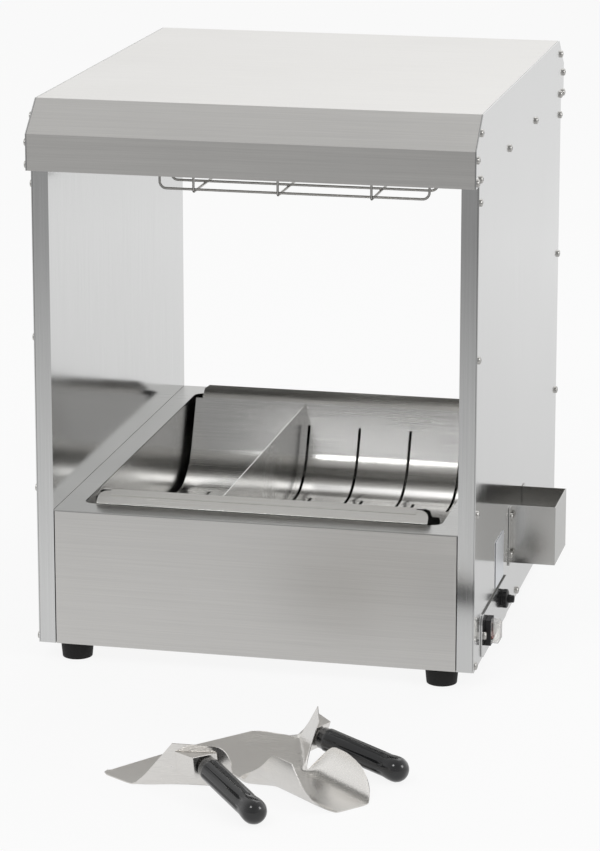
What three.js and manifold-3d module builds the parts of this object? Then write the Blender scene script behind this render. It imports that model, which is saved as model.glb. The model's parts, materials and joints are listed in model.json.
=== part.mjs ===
// A pass-through french fry dump station with its two fry scoops.
// Millimetres, +Z up, +X to the right, the working side faces -Y.
import * as THREE from 'three';
import { mergeVertices } from 'three/addons/utils/BufferGeometryUtils.js';
import Module from 'manifold-3d';

const wasm = await Module();
wasm.setup();

// Driving sizes of the whole station: its deck opening, and what stands round it
const openingWidth = 414;
const openingDepth = 517;
const deckSideMargin = 43;
const deckEndMargin = 34;
const bodyWidth = openingWidth + 2 * deckSideMargin;
const bodyDepth = openingDepth + 2 * deckEndMargin;
const footHeight = 20;
const baseHeight = 158;
const bayHeight = 392.5;
const fasciaHeight = 41;
const slopeRise = 34;
const slopeRun = 40;
const canopyOverhang = 20;
const wallDepth = 18;

// Stock and clearances
const sheet = 1.2;
const thinSheet = 1;
const seat = 0.3;
const looseFit = 0.6;
const overrun = 5;
const weldTolerance = 0.0001;
const smallShare = 0.000001;
const frameLip = 13;
const returnLip = 14;
const canopyLip = 10;
const canopyFlange = 12;
const panelSeam = 1.2;

// Deck opening, tray and divider
const openingCorner = 12;
const linerFloorDrop = 112;
const linerFlange = 10;
const traySideGap = 7;
const trayWidth = openingWidth - 2 * traySideGap;
const trayDrop = 96;
const trayFloorDepth = 286;
const trayMouthMargin = 28.5;
const trayMouthDepth = openingDepth - 2 * trayMouthMargin;
const trayMouthRise = 1.5;
const trayBend = 68;
const trayBendShare = 0.95;
const trayBendSteps = 7;
const ridgeRise = 13.5;
const ridgeRun = 15.5;
const ridgeMargin = 8.5;
const ridgeWidth = trayWidth - 2 * ridgeMargin;
const ridgeCorner = 11;
const ridgeGap = 1.5;
const lipOverlap = 4;
const foldMargin = 14.5;
const foldWidth = ridgeWidth - 2 * foldMargin;
const foldLength = 8;
const slotWidth = 3.5;
const slotPitch = 65;
const rearSlotOffset = 15;
const floorSlotOffset = -31;
const slotDrop = 25;
const slotFloorReach = 23;
const floorSlotLength = 82;
const rearSlots = [-1, 0, 1, 2];
const floorSlots = [-2, -1, 0, 1, 2, 3];
const dividerOffset = -57;
const dividerFoot = 11;
const dividerFootDepth = 200;

// Heater unit under the canopy
const heaterOpeningWidth = 304;
const heaterOpeningDepth = 168;
const reflectorHeight = 46;
const reflectorTopDepth = 110;
const reflectorOverlap = 14;
const tubeRadius = 5.5;
const tubeSpacing = 80;
const tubeDrop = 24;
const tubeReach = 6;
const tubeClearance = 0.4;
const capRadius = 8;
const capLength = 20;
const holderMargin = 8;
const holderFoot = 12;

// Wire guard
const guardWire = 3;
const guardDrop = 57.5;
const guardEndMargin = 7;
const guardHalfLength = heaterOpeningWidth / 2 + guardEndMargin;
const guardSideMargin = 5.5;
const guardOuterWire = heaterOpeningDepth / 2 + guardSideMargin;
const guardInnerWire = 36.5;
const guardBend = 8;
const crossWirePlaces = [-118, -18, 92];
const guardRim = 11;
const weldDepth = 0.4;
const guardScrewSpacing = 110;

// Base heater and electrics
const elementRadius = 3.5;
const elementPitch = 70;
const elementRuns = 4;
const elementEndMargin = 57;
const elementLength = openingWidth - 2 * elementEndMargin;
const elementLead = 20;
const elementTurnSteps = 6;
const clampWidth = 14;
const clampPlace = 80;
const clampMargin = 13;
const clampFlange = 14;
const blockLength = 62;
const blockDepth = 26;
const blockHeight = 22;
const blockPlace = 39;
const blockPoles = 4;
const poleSpacing = 13;
const poleRadius = 2.5;
const poleDepth = 6;
const cutoutRadius = 13;
const cutoutHeight = 9;
const leadRadius = 3;
const tailRadius = 3.5;
const tailBend = 9;
const tailRun = 12;
const coreRadius = 2;
const coreSpacing = 3.2;
const switchLeadDrop = 10;
const leadHole = 8;
const leadSpacing = 80;
const leadHeight = 30;
const leadBend = 4;
const wireSides = 6;
const tubeSides = 10;
const boreSides = 12;
const roundSides = 16;
const studRadius = 3;
const studHeight = 16;
const studNut = 6;
const studNutHeight = 5;
const studInset = 60;
const studOffset = 80;

// Control plate, switch and gland on the right side
const plateFront = 43;
const plateLength = 172;
const plateBottom = 2;
const plateHeight = 50;
const plateCorner = 10;
const plateThickness = 1.6;
const switchFront = 73;
const switchWidth = 19;
const switchHeight = 27;
const switchBody = 24;
const switchBezel = 6;
const bezelMargin = 1.5;
const rockerWidth = 13;
const rockerHeight = 18;
const rockerDepth = 6;
const rockerProud = 1;
const rockerTilt = 10;
const rockerDipShare = 0.5;
const rockerWaistShare = 0.8;
const rockerTailShare = 0.4;
const rockerGap = 0.8;
const pivotRadius = 1.5;
const pivotDepth = 5;
const pivotEngagement = 1.5;
const bootProud = 10;
const bootInset = 2.5;
const bootWall = 1;
const bootSteps = 3;
const bootShoulderShare = 0.75;
const bootCrownShare = 0.7;
const glandFront = 178;
const glandHeight = 32;
const glandRadius = 11;
const glandCollar = 1.5;
const glandNut = 5;
const glandShoulder = 1.5;
const glandNose = 4.5;
const glandNoseLength = 7;
const glandBore = 3;
const glandThread = 8;
const lockNutRadius = 13;
const lockNutHeight = 5;
const glandTail = 10;

// Rating plate and scoop holder on the right side
const ratingFront = 137;
const ratingLength = 53;
const ratingBottom = 56;
const ratingHeight = 55;
const ratingThickness = 0.5;
const ratingCorner = 2;
const holderFront = 242.5;
const holderLength = 82;
const holderBottom = 56;
const holderHeight = 70;
const holderProud = 51.5;
const holderFlange = 15;
const holderScrewInset = 12;

// Feet and fasteners
const footRadius = 19;
const footTaper = 2;
const footInset = 38;
const footSetback = 20;
const footPocket = 10;
const footPocketDepth = 12;
const screwHead = 4;
const screwHeadHeight = 2.4;
const screwShank = 1.7;
const screwHole = 2.3;
const screwLength = 6;
const screwSides = 6;
const canopyScrewRise = 31;
const slopeScrewShare = 0.6;
const screwCrownShare = 0.75;
const screwFlatShare = 0.7;
const rowScrewSpacing = 187;
const columnScrews = 4;

// Fry scoops, measured from the mouth along each scoop and outwards from its middle line
const scoopLength = 246;
const wallBend = 8;
const rollRadius = 30;
const wallSteps = 7;
const rightScoop = {
  nearBase: [[0, 48], [4, 55], [10, 60], [44, 79], [127, 23], [134, 30], [150, 42], [246, 42]],
  nearReach: [
    [0, 2], [44, 2], [84, 56], [120, 56], [128, 14], [134, 6], [143, 34], [154, 48],
    [180, 48], [205, 42], [222, 30], [232, 22], [240, 14], [246, 8],
  ],
  farBase: [[0, 34], [112, 50], [246, 46]],
  farReach: [[0, 2], [112, 2], [172, 63], [205, 63], [222, 42], [232, 30], [246, 6]],
  stations: [
    0, 4, 10, 27, 44, 64, 84, 104, 120, 124, 128, 134,
    143, 154, 163, 172, 180, 205, 214, 222, 232, 240, 246,
  ],
  wallTurn: 66,
  roll: [125, 150],
  gripAngle: 18,
  socketPlaces: [78, 121],
  socketHeights: [16, 40],
  socketWidth: 24,
};
const leftScoop = {
  nearBase: [[0, 48], [3, 51], [6, 54], [41, 65], [46, 63], [143, 24]],
  nearReach: [[0, 2], [46, 2], [88, 56], [134, 54], [140, 46], [143, 36]],
  farBase: [[0, -32], [3, -31], [28, 36], [74, 36], [143, -8]],
  farReach: [[0, 2], [74, 2], [104, 6], [143, 6]],
  stations: [0, 3, 6, 10, 20, 28, 41, 46, 60, 74, 88, 104, 119, 134, 140, 143],
  wallTurn: 80,
  roll: [143, 246],
  gripAngle: 31.5,
  socketPlaces: [90, 131],
  socketHeights: [18, 42],
  socketWidth: 29,
};
const rightScoopPlace = [12, -511];
const rightScoopHeading = -41.8;
const leftScoopPlace = [-67, -589];
const leftScoopHeading = -15;
const gripLength = 96;
const tangLength = 6;
const tangRadius = 6;
const gripRadius = 12.5;
const ballRadius = 13.5;
const gripFlare = 1;
const gripCollar = 8;
const gripSides = 14;
const gripSteps = 4;

// Derived planes shared by the pieces
const halfWidth = bodyWidth / 2;
const halfDepth = bodyDepth / 2;
const skinX = halfWidth - wallDepth;
const bottomZ = footHeight;
const deckZ = bottomZ + baseHeight;
const canopyZ = deckZ + bayHeight;
const bendZ = canopyZ + fasciaHeight;
const topZ = bendZ + slopeRise;
const canopyHalfDepth = halfDepth + canopyOverhang;
const topHalfDepth = canopyHalfDepth - slopeRun;
const outerX = halfWidth + seat + sheet;
const frameTop = canopyZ + frameLip;
const soffitZ = canopyZ + sheet + seat;
const deckUnder = deckZ - sheet;

// Geometry helpers

function toSolid(geometry) {
  const bare = geometry.clone();
  bare.deleteAttribute('normal');
  bare.deleteAttribute('uv');
  const welded = mergeVertices(bare, weldTolerance);
  return new wasm.Manifold(new wasm.Mesh({
    numProp: 3,
    vertProperties: new Float32Array(welded.attributes.position.array),
    triVerts: new Uint32Array(welded.index.array),
  }));
}

function toGeometry(solid) {
  const mesh = solid.getMesh();
  const geometry = new THREE.BufferGeometry();
  geometry.setAttribute('position', new THREE.BufferAttribute(mesh.vertProperties, mesh.numProp));
  geometry.setIndex(new THREE.BufferAttribute(mesh.triVerts, 1));
  return geometry;
}

function join(...geometries) {
  return toGeometry(geometries.map(toSolid).reduce((whole, piece) => whole.add(piece)));
}

function cut(geometry, ...tools) {
  return toGeometry(tools.map(toSolid).reduce((rest, tool) => rest.subtract(tool), toSolid(geometry)));
}

// An outline extruded along x, y or z. It is drawn in (y, z), (x, z) or (x, y).
function prism(axis, outline, from, to, holes = []) {
  const shape = new THREE.Shape(outline.map(([u, v]) => new THREE.Vector2(u, v)));
  for (const hole of holes) shape.holes.push(new THREE.Path(hole.map(([u, v]) => new THREE.Vector2(u, v))));
  const geometry = new THREE.ExtrudeGeometry(shape, { depth: to - from, bevelEnabled: false });
  const basis = new THREE.Matrix4();
  if (axis === 'x') basis.set(0, 0, 1, from, 1, 0, 0, 0, 0, 1, 0, 0, 0, 0, 0, 1);
  if (axis === 'y') basis.set(1, 0, 0, 0, 0, 0, -1, to, 0, 1, 0, 0, 0, 0, 0, 1);
  if (axis === 'z') basis.set(1, 0, 0, 0, 0, 1, 0, 0, 0, 0, 1, from, 0, 0, 0, 1);
  return geometry.applyMatrix4(basis);
}

function slab(x0, x1, y0, y1, z0, z1) {
  const box = new THREE.BoxGeometry(x1 - x0, y1 - y0, z1 - z0);
  return box.translate((x0 + x1) / 2, (y0 + y1) / 2, (z0 + z1) / 2);
}

function circle(u, v, radius, sides, turn = 0) {
  const points = [];
  for (let i = 0; i < sides; i += 1) {
    const angle = turn + (2 * Math.PI * i) / sides;
    points.push([u + radius * Math.cos(angle), v + radius * Math.sin(angle)]);
  }
  return points;
}

// A rectangle with round corners, counter-clockwise
function roundedBox(u0, u1, v0, v1, radius, steps = 4) {
  const points = [];
  const corners = [[u1, v1, -1, -1, 0], [u0, v1, 1, -1, 1], [u0, v0, 1, 1, 2], [u1, v0, -1, 1, 3]];
  for (const [u, v, su, sv, quarter] of corners) {
    for (let i = 0; i <= steps; i += 1) {
      const angle = (Math.PI / 2) * (quarter + i / steps);
      points.push([
        u + su * radius + radius * Math.cos(angle),
        v + sv * radius + radius * Math.sin(angle),
      ]);
    }
  }
  return points;
}

// The line parallel to an open polyline, to its left for a positive distance
function parallel(points, distance) {
  const sides = points.slice(1).map(([u, v], i) => {
    const [a, b] = points[i];
    const length = Math.hypot(u - a, v - b);
    return [-(v - b) / length, (u - a) / length];
  });
  return points.map(([u, v], i) => {
    const [n, m] = [sides[Math.max(i - 1, 0)], sides[Math.min(i, sides.length - 1)]];
    const share = distance / (1 + n[0] * m[0] + n[1] * m[1]);
    return [u + (n[0] + m[0]) * share, v + (n[1] + m[1]) * share];
  });
}

// Sheet bent along a polyline, its thickness to the left of the line
function bent(points, thickness) {
  return [...points, ...parallel(points, thickness).reverse()];
}

function mirrored(geometry, axis) {
  const scale = { x: [-1, 1, 1], y: [1, -1, 1] }[axis];
  const flipped = geometry.clone().scale(...scale);
  if (!flipped.index) {
    const count = flipped.attributes.position.count;
    flipped.setIndex([...Array(count).keys()]);
  }
  const index = flipped.index.array;
  for (let i = 0; i < index.length; i += 3) [index[i], index[i + 1]] = [index[i + 1], index[i]];
  return flipped;
}

// A flat leaf drawn in (x, s), where s runs along a slope in the y-z plane
function leaf(outline, thickness, start, slope) {
  const geometry = prism('z', outline, -thickness, 0);
  const along = new THREE.Vector3(0, slope[0], slope[1]).normalize();
  const across = new THREE.Vector3(1, 0, 0);
  const basis = new THREE.Matrix4().makeBasis(across, along, across.clone().cross(along));
  basis.setPosition(0, start[0], start[1]);
  return geometry.applyMatrix4(basis);
}

// A round solid from a profile of (radius, height), turned about an axis through a centre
function turned(profile, sides, axis, centre) {
  const geometry = new THREE.LatheGeometry(profile.map(([r, h]) => new THREE.Vector2(r, h)), sides);
  const quarter = Math.PI / 2;
  if (axis === 'x') geometry.rotateZ(-quarter);
  if (axis === '-x') geometry.rotateZ(quarter);
  if (axis === 'z') geometry.rotateX(quarter);
  if (axis === '-z') geometry.rotateX(-quarter);
  if (axis === '-y') geometry.rotateX(Math.PI);
  return geometry.translate(...centre);
}

// Round wire along a polyline of points, with flat ends
function wire(points, radius, sides) {
  const path = points.map((point) => new THREE.Vector3(...point));
  const positions = [];
  let normal = null;
  path.forEach((point, i) => {
    const before = point.clone().sub(path[Math.max(i - 1, 0)]).normalize();
    const after = path[Math.min(i + 1, path.length - 1)].clone().sub(point).normalize();
    const along = before.clone().add(after).normalize();
    const stretch = i === 0 || i === path.length - 1 ? 1 : 1 / along.dot(after);
    if (!normal) {
      normal = new THREE.Vector3(0, 0, 1).cross(along);
      if (normal.lengthSq() < smallShare) normal = new THREE.Vector3(0, 1, 0).cross(along);
    }
    normal.sub(along.clone().multiplyScalar(normal.dot(along))).normalize();
    const side = along.clone().cross(normal);
    const bendSide = after.clone().sub(before).normalize();
    for (let k = 0; k < sides; k += 1) {
      const angle = (2 * Math.PI * k) / sides;
      const ring = normal.clone().multiplyScalar(Math.cos(angle));
      ring.add(side.clone().multiplyScalar(Math.sin(angle)));
      const lengthened = bendSide.clone().multiplyScalar(ring.dot(bendSide) * (stretch - 1));
      if (bendSide.lengthSq() > 0) ring.add(lengthened);
      positions.push(...ring.multiplyScalar(radius).add(point).toArray());
    }
  });
  const index = [];
  for (let i = 0; i + 1 < path.length; i += 1) {
    for (let k = 0; k < sides; k += 1) {
      const next = (k + 1) % sides;
      const [a, b, c, d] = [i * sides + k, i * sides + next, (i + 1) * sides + next, (i + 1) * sides + k];
      index.push(a, b, c, a, c, d);
    }
  }
  const last = (path.length - 1) * sides;
  for (let k = 1; k + 1 < sides; k += 1) index.push(0, k + 1, k, last, last + k, last + k + 1);
  const geometry = new THREE.BufferGeometry();
  geometry.setAttribute('position', new THREE.Float32BufferAttribute(positions, 3));
  geometry.setIndex(index);
  return geometry;
}

// A corner of a polyline replaced by a short arc
function bendCorner(before, corner, after, radius, steps = 3) {
  const [a, c, b] = [before, corner, after].map((point) => new THREE.Vector3(...point));
  const [u, v] = [a.sub(c).normalize(), b.sub(c).normalize()];
  const half = Math.acos(u.dot(v)) / 2;
  const centre = u.clone().add(v).normalize().multiplyScalar(radius / Math.sin(half)).add(c);
  const start = u.clone().multiplyScalar(radius / Math.tan(half)).add(c).sub(centre);
  const end = v.clone().multiplyScalar(radius / Math.tan(half)).add(c).sub(centre);
  const sweep = Math.PI - 2 * half;
  const points = [];
  for (let i = 0; i <= steps; i += 1) {
    const [p, q] = [Math.sin((1 - i / steps) * sweep), Math.sin((i / steps) * sweep)];
    const spoke = start.clone().multiplyScalar(p).add(end.clone().multiplyScalar(q));
    points.push(spoke.divideScalar(Math.sin(sweep)).add(centre).toArray());
  }
  return points;
}

// Materials by finish
const finishes = {
  brushed: { color: 0xb9b8b4, roughness: 0.35, metalness: 1 },
  polished: { color: 0xc9c9c7, roughness: 0.15, metalness: 1 },
  bright: { color: 0xd8d8d6, roughness: 0.2, metalness: 1 },
  rubber: { color: 0x1a1a1b, roughness: 0.8, metalness: 0 },
  plastic: { color: 0x161617, roughness: 0.4, metalness: 0 },
  grip: { color: 0x232527, roughness: 0.45, metalness: 0 },
  amber: { color: 0x2b1512, roughness: 0.3, metalness: 0 },
  clear: { color: 0xdfe0dc, roughness: 0.2, metalness: 0 },
  quartz: { color: 0xe6e2da, roughness: 0.2, metalness: 0 },
  ceramic: { color: 0xe8e4d8, roughness: 0.6, metalness: 0 },
  scoop: { color: 0xc8c6bf, roughness: 0.3, metalness: 1 },
  lead: { color: 0xd9d5c8, roughness: 0.7, metalness: 0 },
  label: { color: 0xc4c6ca, roughness: 0.4, metalness: 0.6 },
  brass: { color: 0xb89a52, roughness: 0.35, metalness: 1 },
};

const station = new THREE.Group();

function addPiece(name, finish, geometry, group = station) {
  const mesh = new THREE.Mesh(geometry, new THREE.MeshStandardMaterial(finishes[finish]));
  mesh.name = name;
  group.add(mesh);
  return mesh;
}

// Fasteners and holes along x, y or z

function screw(axis, centre, length) {
  const crown = screwHeadHeight * screwCrownShare;
  const profile = [
    [0, -length], [screwShank, -length], [screwShank, 0], [screwHead, 0],
    [screwHead * screwFlatShare, crown], [0, screwHeadHeight],
  ];
  return toGeometry(toSolid(turned(profile, screwSides, axis, centre)));
}

function screwOpening(u, v) {
  return circle(u, v, screwHole, wireSides);
}

// Side walls: a pan with its open side outwards, closed by the outer sheet

const frameScrewInset = frameLip / 2;
const columnY = halfDepth - frameScrewInset;
const rowZ = frameTop - frameScrewInset;
const columnFoot = bottomZ + frameScrewInset;
const columnPitch = (canopyZ - returnLip - overrun - columnFoot) / (columnScrews - 1);
const frameScrews = [[0, columnFoot], [-rowScrewSpacing / 2, rowZ], [rowScrewSpacing / 2, rowZ]];
for (const y of [-columnY, columnY]) {
  frameScrews.push([y, rowZ]);
  for (let i = 0; i < columnScrews; i += 1) frameScrews.push([y, columnFoot + i * columnPitch]);
}

const flangeInset = canopyFlange / 2;
const slopeLength = Math.hypot(slopeRun, slopeRise);
const slopeScrew = [
  canopyHalfDepth - slopeRun * slopeScrewShare - (flangeInset * slopeRise) / slopeLength,
  bendZ + slopeRise * slopeScrewShare - (flangeInset * slopeRun) / slopeLength,
];
const canopyScrews = [];
for (const side of [-1, 1]) {
  canopyScrews.push([side * (canopyHalfDepth - flangeInset), canopyZ + flangeInset]);
  canopyScrews.push([side * (canopyHalfDepth - flangeInset), canopyZ + canopyScrewRise]);
  canopyScrews.push([side * slopeScrew[0], slopeScrew[1]]);
}

// Places on the right side wall
const plateY = [plateFront - halfDepth, plateFront + plateLength - halfDepth];
const plateZ = [bottomZ + plateBottom, bottomZ + plateBottom + plateHeight];
const plateMidZ = (plateZ[0] + plateZ[1]) / 2;
const switchY = switchFront - halfDepth;
const glandY = glandFront - halfDepth;
const glandZ = bottomZ + glandHeight;
const plateScrews = [[plateY[0] + plateCorner, plateMidZ], [plateY[1] - plateCorner, plateMidZ]];
const pocketY = [holderFront - halfDepth, holderFront + holderLength - halfDepth];
const holderZ = [bottomZ + holderBottom, bottomZ + holderBottom + holderHeight];
const holderScrews = [];
for (const y of [pocketY[0] - holderFlange / 2, pocketY[1] + holderFlange / 2]) {
  for (const z of [holderZ[0] + holderScrewInset, holderZ[1] - holderScrewInset]) holderScrews.push([y, z]);
}
const leadY = leadSpacing / 2;
const leadLowZ = bottomZ + leadHeight;
const leadHighZ = (soffitZ + sheet + frameTop - sheet) / 2;

function switchOpening() {
  const [halfY, halfZ] = [switchWidth / 2 + seat, switchHeight / 2 + seat];
  return [
    [switchY - halfY, plateMidZ - halfZ], [switchY + halfY, plateMidZ - halfZ],
    [switchY + halfY, plateMidZ + halfZ], [switchY - halfY, plateMidZ + halfZ],
  ];
}

const glandOpening = circle(glandY, glandZ, glandThread + looseFit, boreSides);

function frameOutline(inset) {
  const [y, low, high] = [halfDepth - inset, bottomZ + inset, frameTop - inset];
  return [[-y, low], [y, low], [y, high], [-y, high]];
}

function sideFrame(openings) {
  const skin = prism('x', frameOutline(0), skinX, skinX + sheet, openings);
  const rim = prism('x', frameOutline(0), skinX, halfWidth, [frameOutline(sheet)]);
  const lips = prism('x', frameOutline(0), halfWidth - sheet, halfWidth, [
    frameOutline(frameLip), ...frameScrews.map(([y, z]) => screwOpening(y, z)),
  ]);
  return join(skin, rim, lips);
}

const wallOpenings = [
  switchOpening(), glandOpening,
  ...[-leadY, leadY].flatMap((y) => [leadLowZ, leadHighZ].map(
    (z) => circle(y, z, leadHole / 2, boreSides),
  )),
];
addPiece('side_frame_left', 'brushed', mirrored(sideFrame([]), 'x'));
addPiece('side_frame_right', 'brushed', sideFrame(wallOpenings));

// Outer sheets, which also close the ends of the canopy

const canopyProfile = [
  [-canopyHalfDepth, canopyZ], [-canopyHalfDepth, bendZ], [-topHalfDepth, topZ],
  [topHalfDepth, topZ], [canopyHalfDepth, bendZ], [canopyHalfDepth, canopyZ],
];
const sideOutline = [
  ...canopyProfile,
  [halfDepth, canopyZ], [halfDepth, bottomZ], [-halfDepth, bottomZ], [-halfDepth, canopyZ],
];

// The screws are set in their sheet, as one node
function sideSheet(openings) {
  const screws = [...frameScrews, ...canopyScrews].map(([y, z]) => screw('x', [outerX, y, z], screwLength));
  return join(prism('x', sideOutline, halfWidth + seat, outerX, openings), ...screws);
}

const plateOpenings = plateScrews.map(([y, z]) => screwOpening(y, z));
const holderOpenings = holderScrews.map(([y, z]) => screwOpening(y, z));
addPiece('side_sheet_left', 'brushed', mirrored(sideSheet([]), 'x'));
addPiece('side_sheet_right', 'brushed', sideSheet([
  switchOpening(), glandOpening, ...plateOpenings, ...holderOpenings,
]));

// Canopy cover, soffit and heater unit

const coverLine = [
  [-canopyHalfDepth + canopyLip, canopyZ], ...canopyProfile, [canopyHalfDepth - canopyLip, canopyZ],
];
const coverEnd = prism('x', bent(canopyProfile, -canopyFlange), halfWidth - sheet, halfWidth,
  canopyScrews.map(([y, z]) => screwOpening(y, z)));
addPiece('canopy_cover', 'brushed', join(
  prism('x', bent(coverLine, -sheet), -halfWidth, halfWidth), coverEnd, mirrored(coverEnd, 'x'),
));

const rimHalfWidth = guardHalfLength + guardRim / 2;
const crossLegY = guardOuterWire + guardWire;
const rimHalfDepth = crossLegY + guardRim / 2;
const guardScrewPlaces = [];
for (const x of [-guardScrewSpacing / 2, guardScrewSpacing / 2]) {
  for (const y of [-crossLegY, crossLegY]) guardScrewPlaces.push([x, y]);
}
const guardOpenings = guardScrewPlaces.map(([x, y]) => screwOpening(x, y));

function rectangle(halfU, halfV) {
  return [[-halfU, -halfV], [halfU, -halfV], [halfU, halfV], [-halfU, halfV]];
}

function soffitOutline() {
  const inner = skinX - seat;
  const outer = halfWidth - sheet - seat;
  const [step, end] = [halfDepth + seat, canopyHalfDepth - sheet - seat];
  return [
    [-outer, -end], [outer, -end], [outer, -step], [inner, -step], [inner, step], [outer, step],
    [outer, end], [-outer, end], [-outer, step], [-inner, step], [-inner, -step], [-outer, -step],
  ];
}

addPiece('canopy_soffit', 'brushed', prism('z', soffitOutline(), soffitZ, soffitZ + sheet, [
  rectangle(heaterOpeningWidth / 2, heaterOpeningDepth / 2), ...guardOpenings,
]));

const unitZ = soffitZ + sheet + seat;
const reflectorEnd = heaterOpeningWidth / 2 + holderMargin;
const reflectorZ = unitZ + reflectorHeight;
const reflectorLine = [
  [-heaterOpeningDepth / 2 - reflectorOverlap, unitZ], [-heaterOpeningDepth / 2, unitZ],
  [-reflectorTopDepth / 2, reflectorZ], [reflectorTopDepth / 2, reflectorZ],
  [heaterOpeningDepth / 2, unitZ], [heaterOpeningDepth / 2 + reflectorOverlap, unitZ],
];
const guardScrewHoles = guardScrewPlaces.map(
  ([x, y]) => prism('z', screwOpening(x, y), unitZ - overrun, unitZ + overrun),
);
addPiece('heater_reflector', 'polished', cut(
  prism('x', bent(reflectorLine, thinSheet), -reflectorEnd, reflectorEnd), ...guardScrewHoles,
));

const tubeZ = reflectorZ - tubeDrop;
const tubeY = tubeSpacing / 2;
const holderX = reflectorEnd + seat;

function tubeHolder() {
  const outline = [
    [-heaterOpeningDepth / 2, unitZ], [heaterOpeningDepth / 2, unitZ],
    [reflectorTopDepth / 2, reflectorZ + thinSheet], [-reflectorTopDepth / 2, reflectorZ + thinSheet],
  ];
  const openings = [-tubeY, tubeY].map((y) => circle(y, tubeZ, tubeRadius + tubeClearance, boreSides));
  const [foot, halfFoot] = [holderX + sheet + holderFoot, heaterOpeningDepth / 2];
  return join(
    prism('x', outline, holderX, holderX + sheet, openings),
    slab(holderX, foot, -halfFoot, halfFoot, unitZ, unitZ + sheet),
  );
}

addPiece('tube_holder_right', 'bright', tubeHolder());
addPiece('tube_holder_left', 'bright', mirrored(tubeHolder(), 'x'));

const tubeEnd = holderX + sheet + tubeReach;
for (const [place, y] of [['front', -tubeY], ['rear', tubeY]]) {
  const glass = prism('x', circle(y, tubeZ, tubeRadius, tubeSides), -tubeEnd, tubeEnd);
  addPiece(`infrared_tube_${place}`, 'quartz', glass);
  const capStart = tubeEnd + seat;
  const cap = prism('x', circle(y, tubeZ, capRadius, tubeSides), capStart, capStart + capLength);
  addPiece(`tube_cap_${place}_right`, 'ceramic', cap);
  addPiece(`tube_cap_${place}_left`, 'ceramic', mirrored(cap, 'x'));
}

// Wire guard: a rim screwed up under the soffit, four long wires and three cross wires

function guard() {
  const rimTop = soffitZ - seat;
  const rimBottom = rimTop - sheet;
  const rim = prism('z', rectangle(rimHalfWidth, rimHalfDepth), rimBottom, rimTop, [
    rectangle(rimHalfWidth - guardRim, rimHalfDepth - guardRim),
  ]);
  const legTop = rimTop - sheet / 2;
  const lowZ = canopyZ - guardDrop;
  const crossZ = lowZ - guardWire + weldDepth;
  const screws = guardScrewPlaces.map(([x, y]) => screw('-z', [x, y, rimBottom], screwLength));
  const pieces = [rim, ...screws];
  for (const y of [-guardOuterWire, -guardInnerWire, guardInnerWire, guardOuterWire]) {
    const [top, low] = [[guardHalfLength, y, legTop], [guardHalfLength, y, lowZ]];
    const [lowLeft, topLeft] = [[-guardHalfLength, y, lowZ], [-guardHalfLength, y, legTop]];
    pieces.push(wire([
      top, ...bendCorner(top, low, lowLeft, guardBend),
      ...bendCorner(low, lowLeft, topLeft, guardBend), topLeft,
    ], guardWire / 2, wireSides));
  }
  for (const x of crossWirePlaces) {
    const y = crossLegY - weldDepth;
    const [top, low] = [[x, -y, legTop], [x, -y, crossZ]];
    const [lowRear, topRear] = [[x, y, crossZ], [x, y, legTop]];
    const bend = guardWire;
    pieces.push(wire([
      top, ...bendCorner(top, low, lowRear, bend), ...bendCorner(low, lowRear, topRear, bend), topRear,
    ], guardWire / 2, wireSides));
  }
  return join(...pieces);
}

addPiece('wire_guard', 'bright', guard());

// Base: bottom plate, front and rear panels, deck and well liner

const footX = halfWidth - footInset;
const footY = halfDepth - footSetback;
const footPlaces = [[-footX, -footY], [footX, -footY], [-footX, footY], [footX, footY]];
addPiece('bottom_plate', 'brushed', prism('z', rectangle(skinX - seat, halfDepth - sheet - seat), bottomZ,
  bottomZ + sheet, footPlaces.map(([x, y]) => screwOpening(x, y))));

function frontPanel() {
  const [face, back] = [-halfDepth, -halfDepth + sheet];
  const halfSpan = skinX - panelSeam;
  const top = deckUnder - seat;
  const low = bottomZ + sheet + seat;
  return join(
    slab(-halfSpan, halfSpan, face, back, bottomZ, top),
    slab(-halfSpan, halfSpan, face, back + returnLip, top - sheet, top),
    slab(-halfSpan, halfSpan, face, back + returnLip, low, low + sheet),
  );
}

addPiece('front_panel', 'brushed', frontPanel());
addPiece('rear_panel', 'brushed', mirrored(frontPanel(), 'y'));

const openingX = openingWidth / 2;
const openingY = openingDepth / 2;

function openingOutline(margin) {
  const [x, y] = [openingX + margin, openingY + margin];
  return roundedBox(-x, x, -y, y, openingCorner + margin);
}

addPiece('deck_plate', 'brushed', prism('z', rectangle(skinX - seat, halfDepth), deckUnder, deckZ, [
  openingOutline(0),
]));

const linerZ = deckZ - linerFloorDrop;
const linerTop = deckUnder - seat;
addPiece('well_liner', 'polished', cut(
  join(
    prism('z', openingOutline(thinSheet), linerZ - thinSheet, linerTop),
    prism('z', openingOutline(thinSheet + linerFlange), linerTop - thinSheet, linerTop),
  ),
  prism('z', openingOutline(0), linerZ, linerTop + overrun),
));

// Base heater under the liner, with its cut-out, clamps and wiring

const elementZ = linerZ - thinSheet - seat - elementRadius;
const elementY = (elementPitch * (elementRuns - 1)) / 2;
const elementX = elementLength / 2;
const elementEnd = elementX + elementLead;

function elementPath() {
  const points = [[elementEnd, -elementY, elementZ]];
  const turn = elementPitch / 2;
  for (let run = 0; run + 1 < elementRuns; run += 1) {
    const side = run % 2 === 0 ? -1 : 1;
    const centre = -elementY + run * elementPitch + turn;
    for (let i = 0; i <= elementTurnSteps; i += 1) {
      const angle = (Math.PI * i) / elementTurnSteps;
      const reach = elementX + turn * Math.sin(angle);
      points.push([side * reach, centre - turn * Math.cos(angle), elementZ]);
    }
  }
  points.push([elementEnd, elementY, elementZ]);
  return points;
}

addPiece('base_element', 'bright', wire(elementPath(), elementRadius, wireSides));

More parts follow.
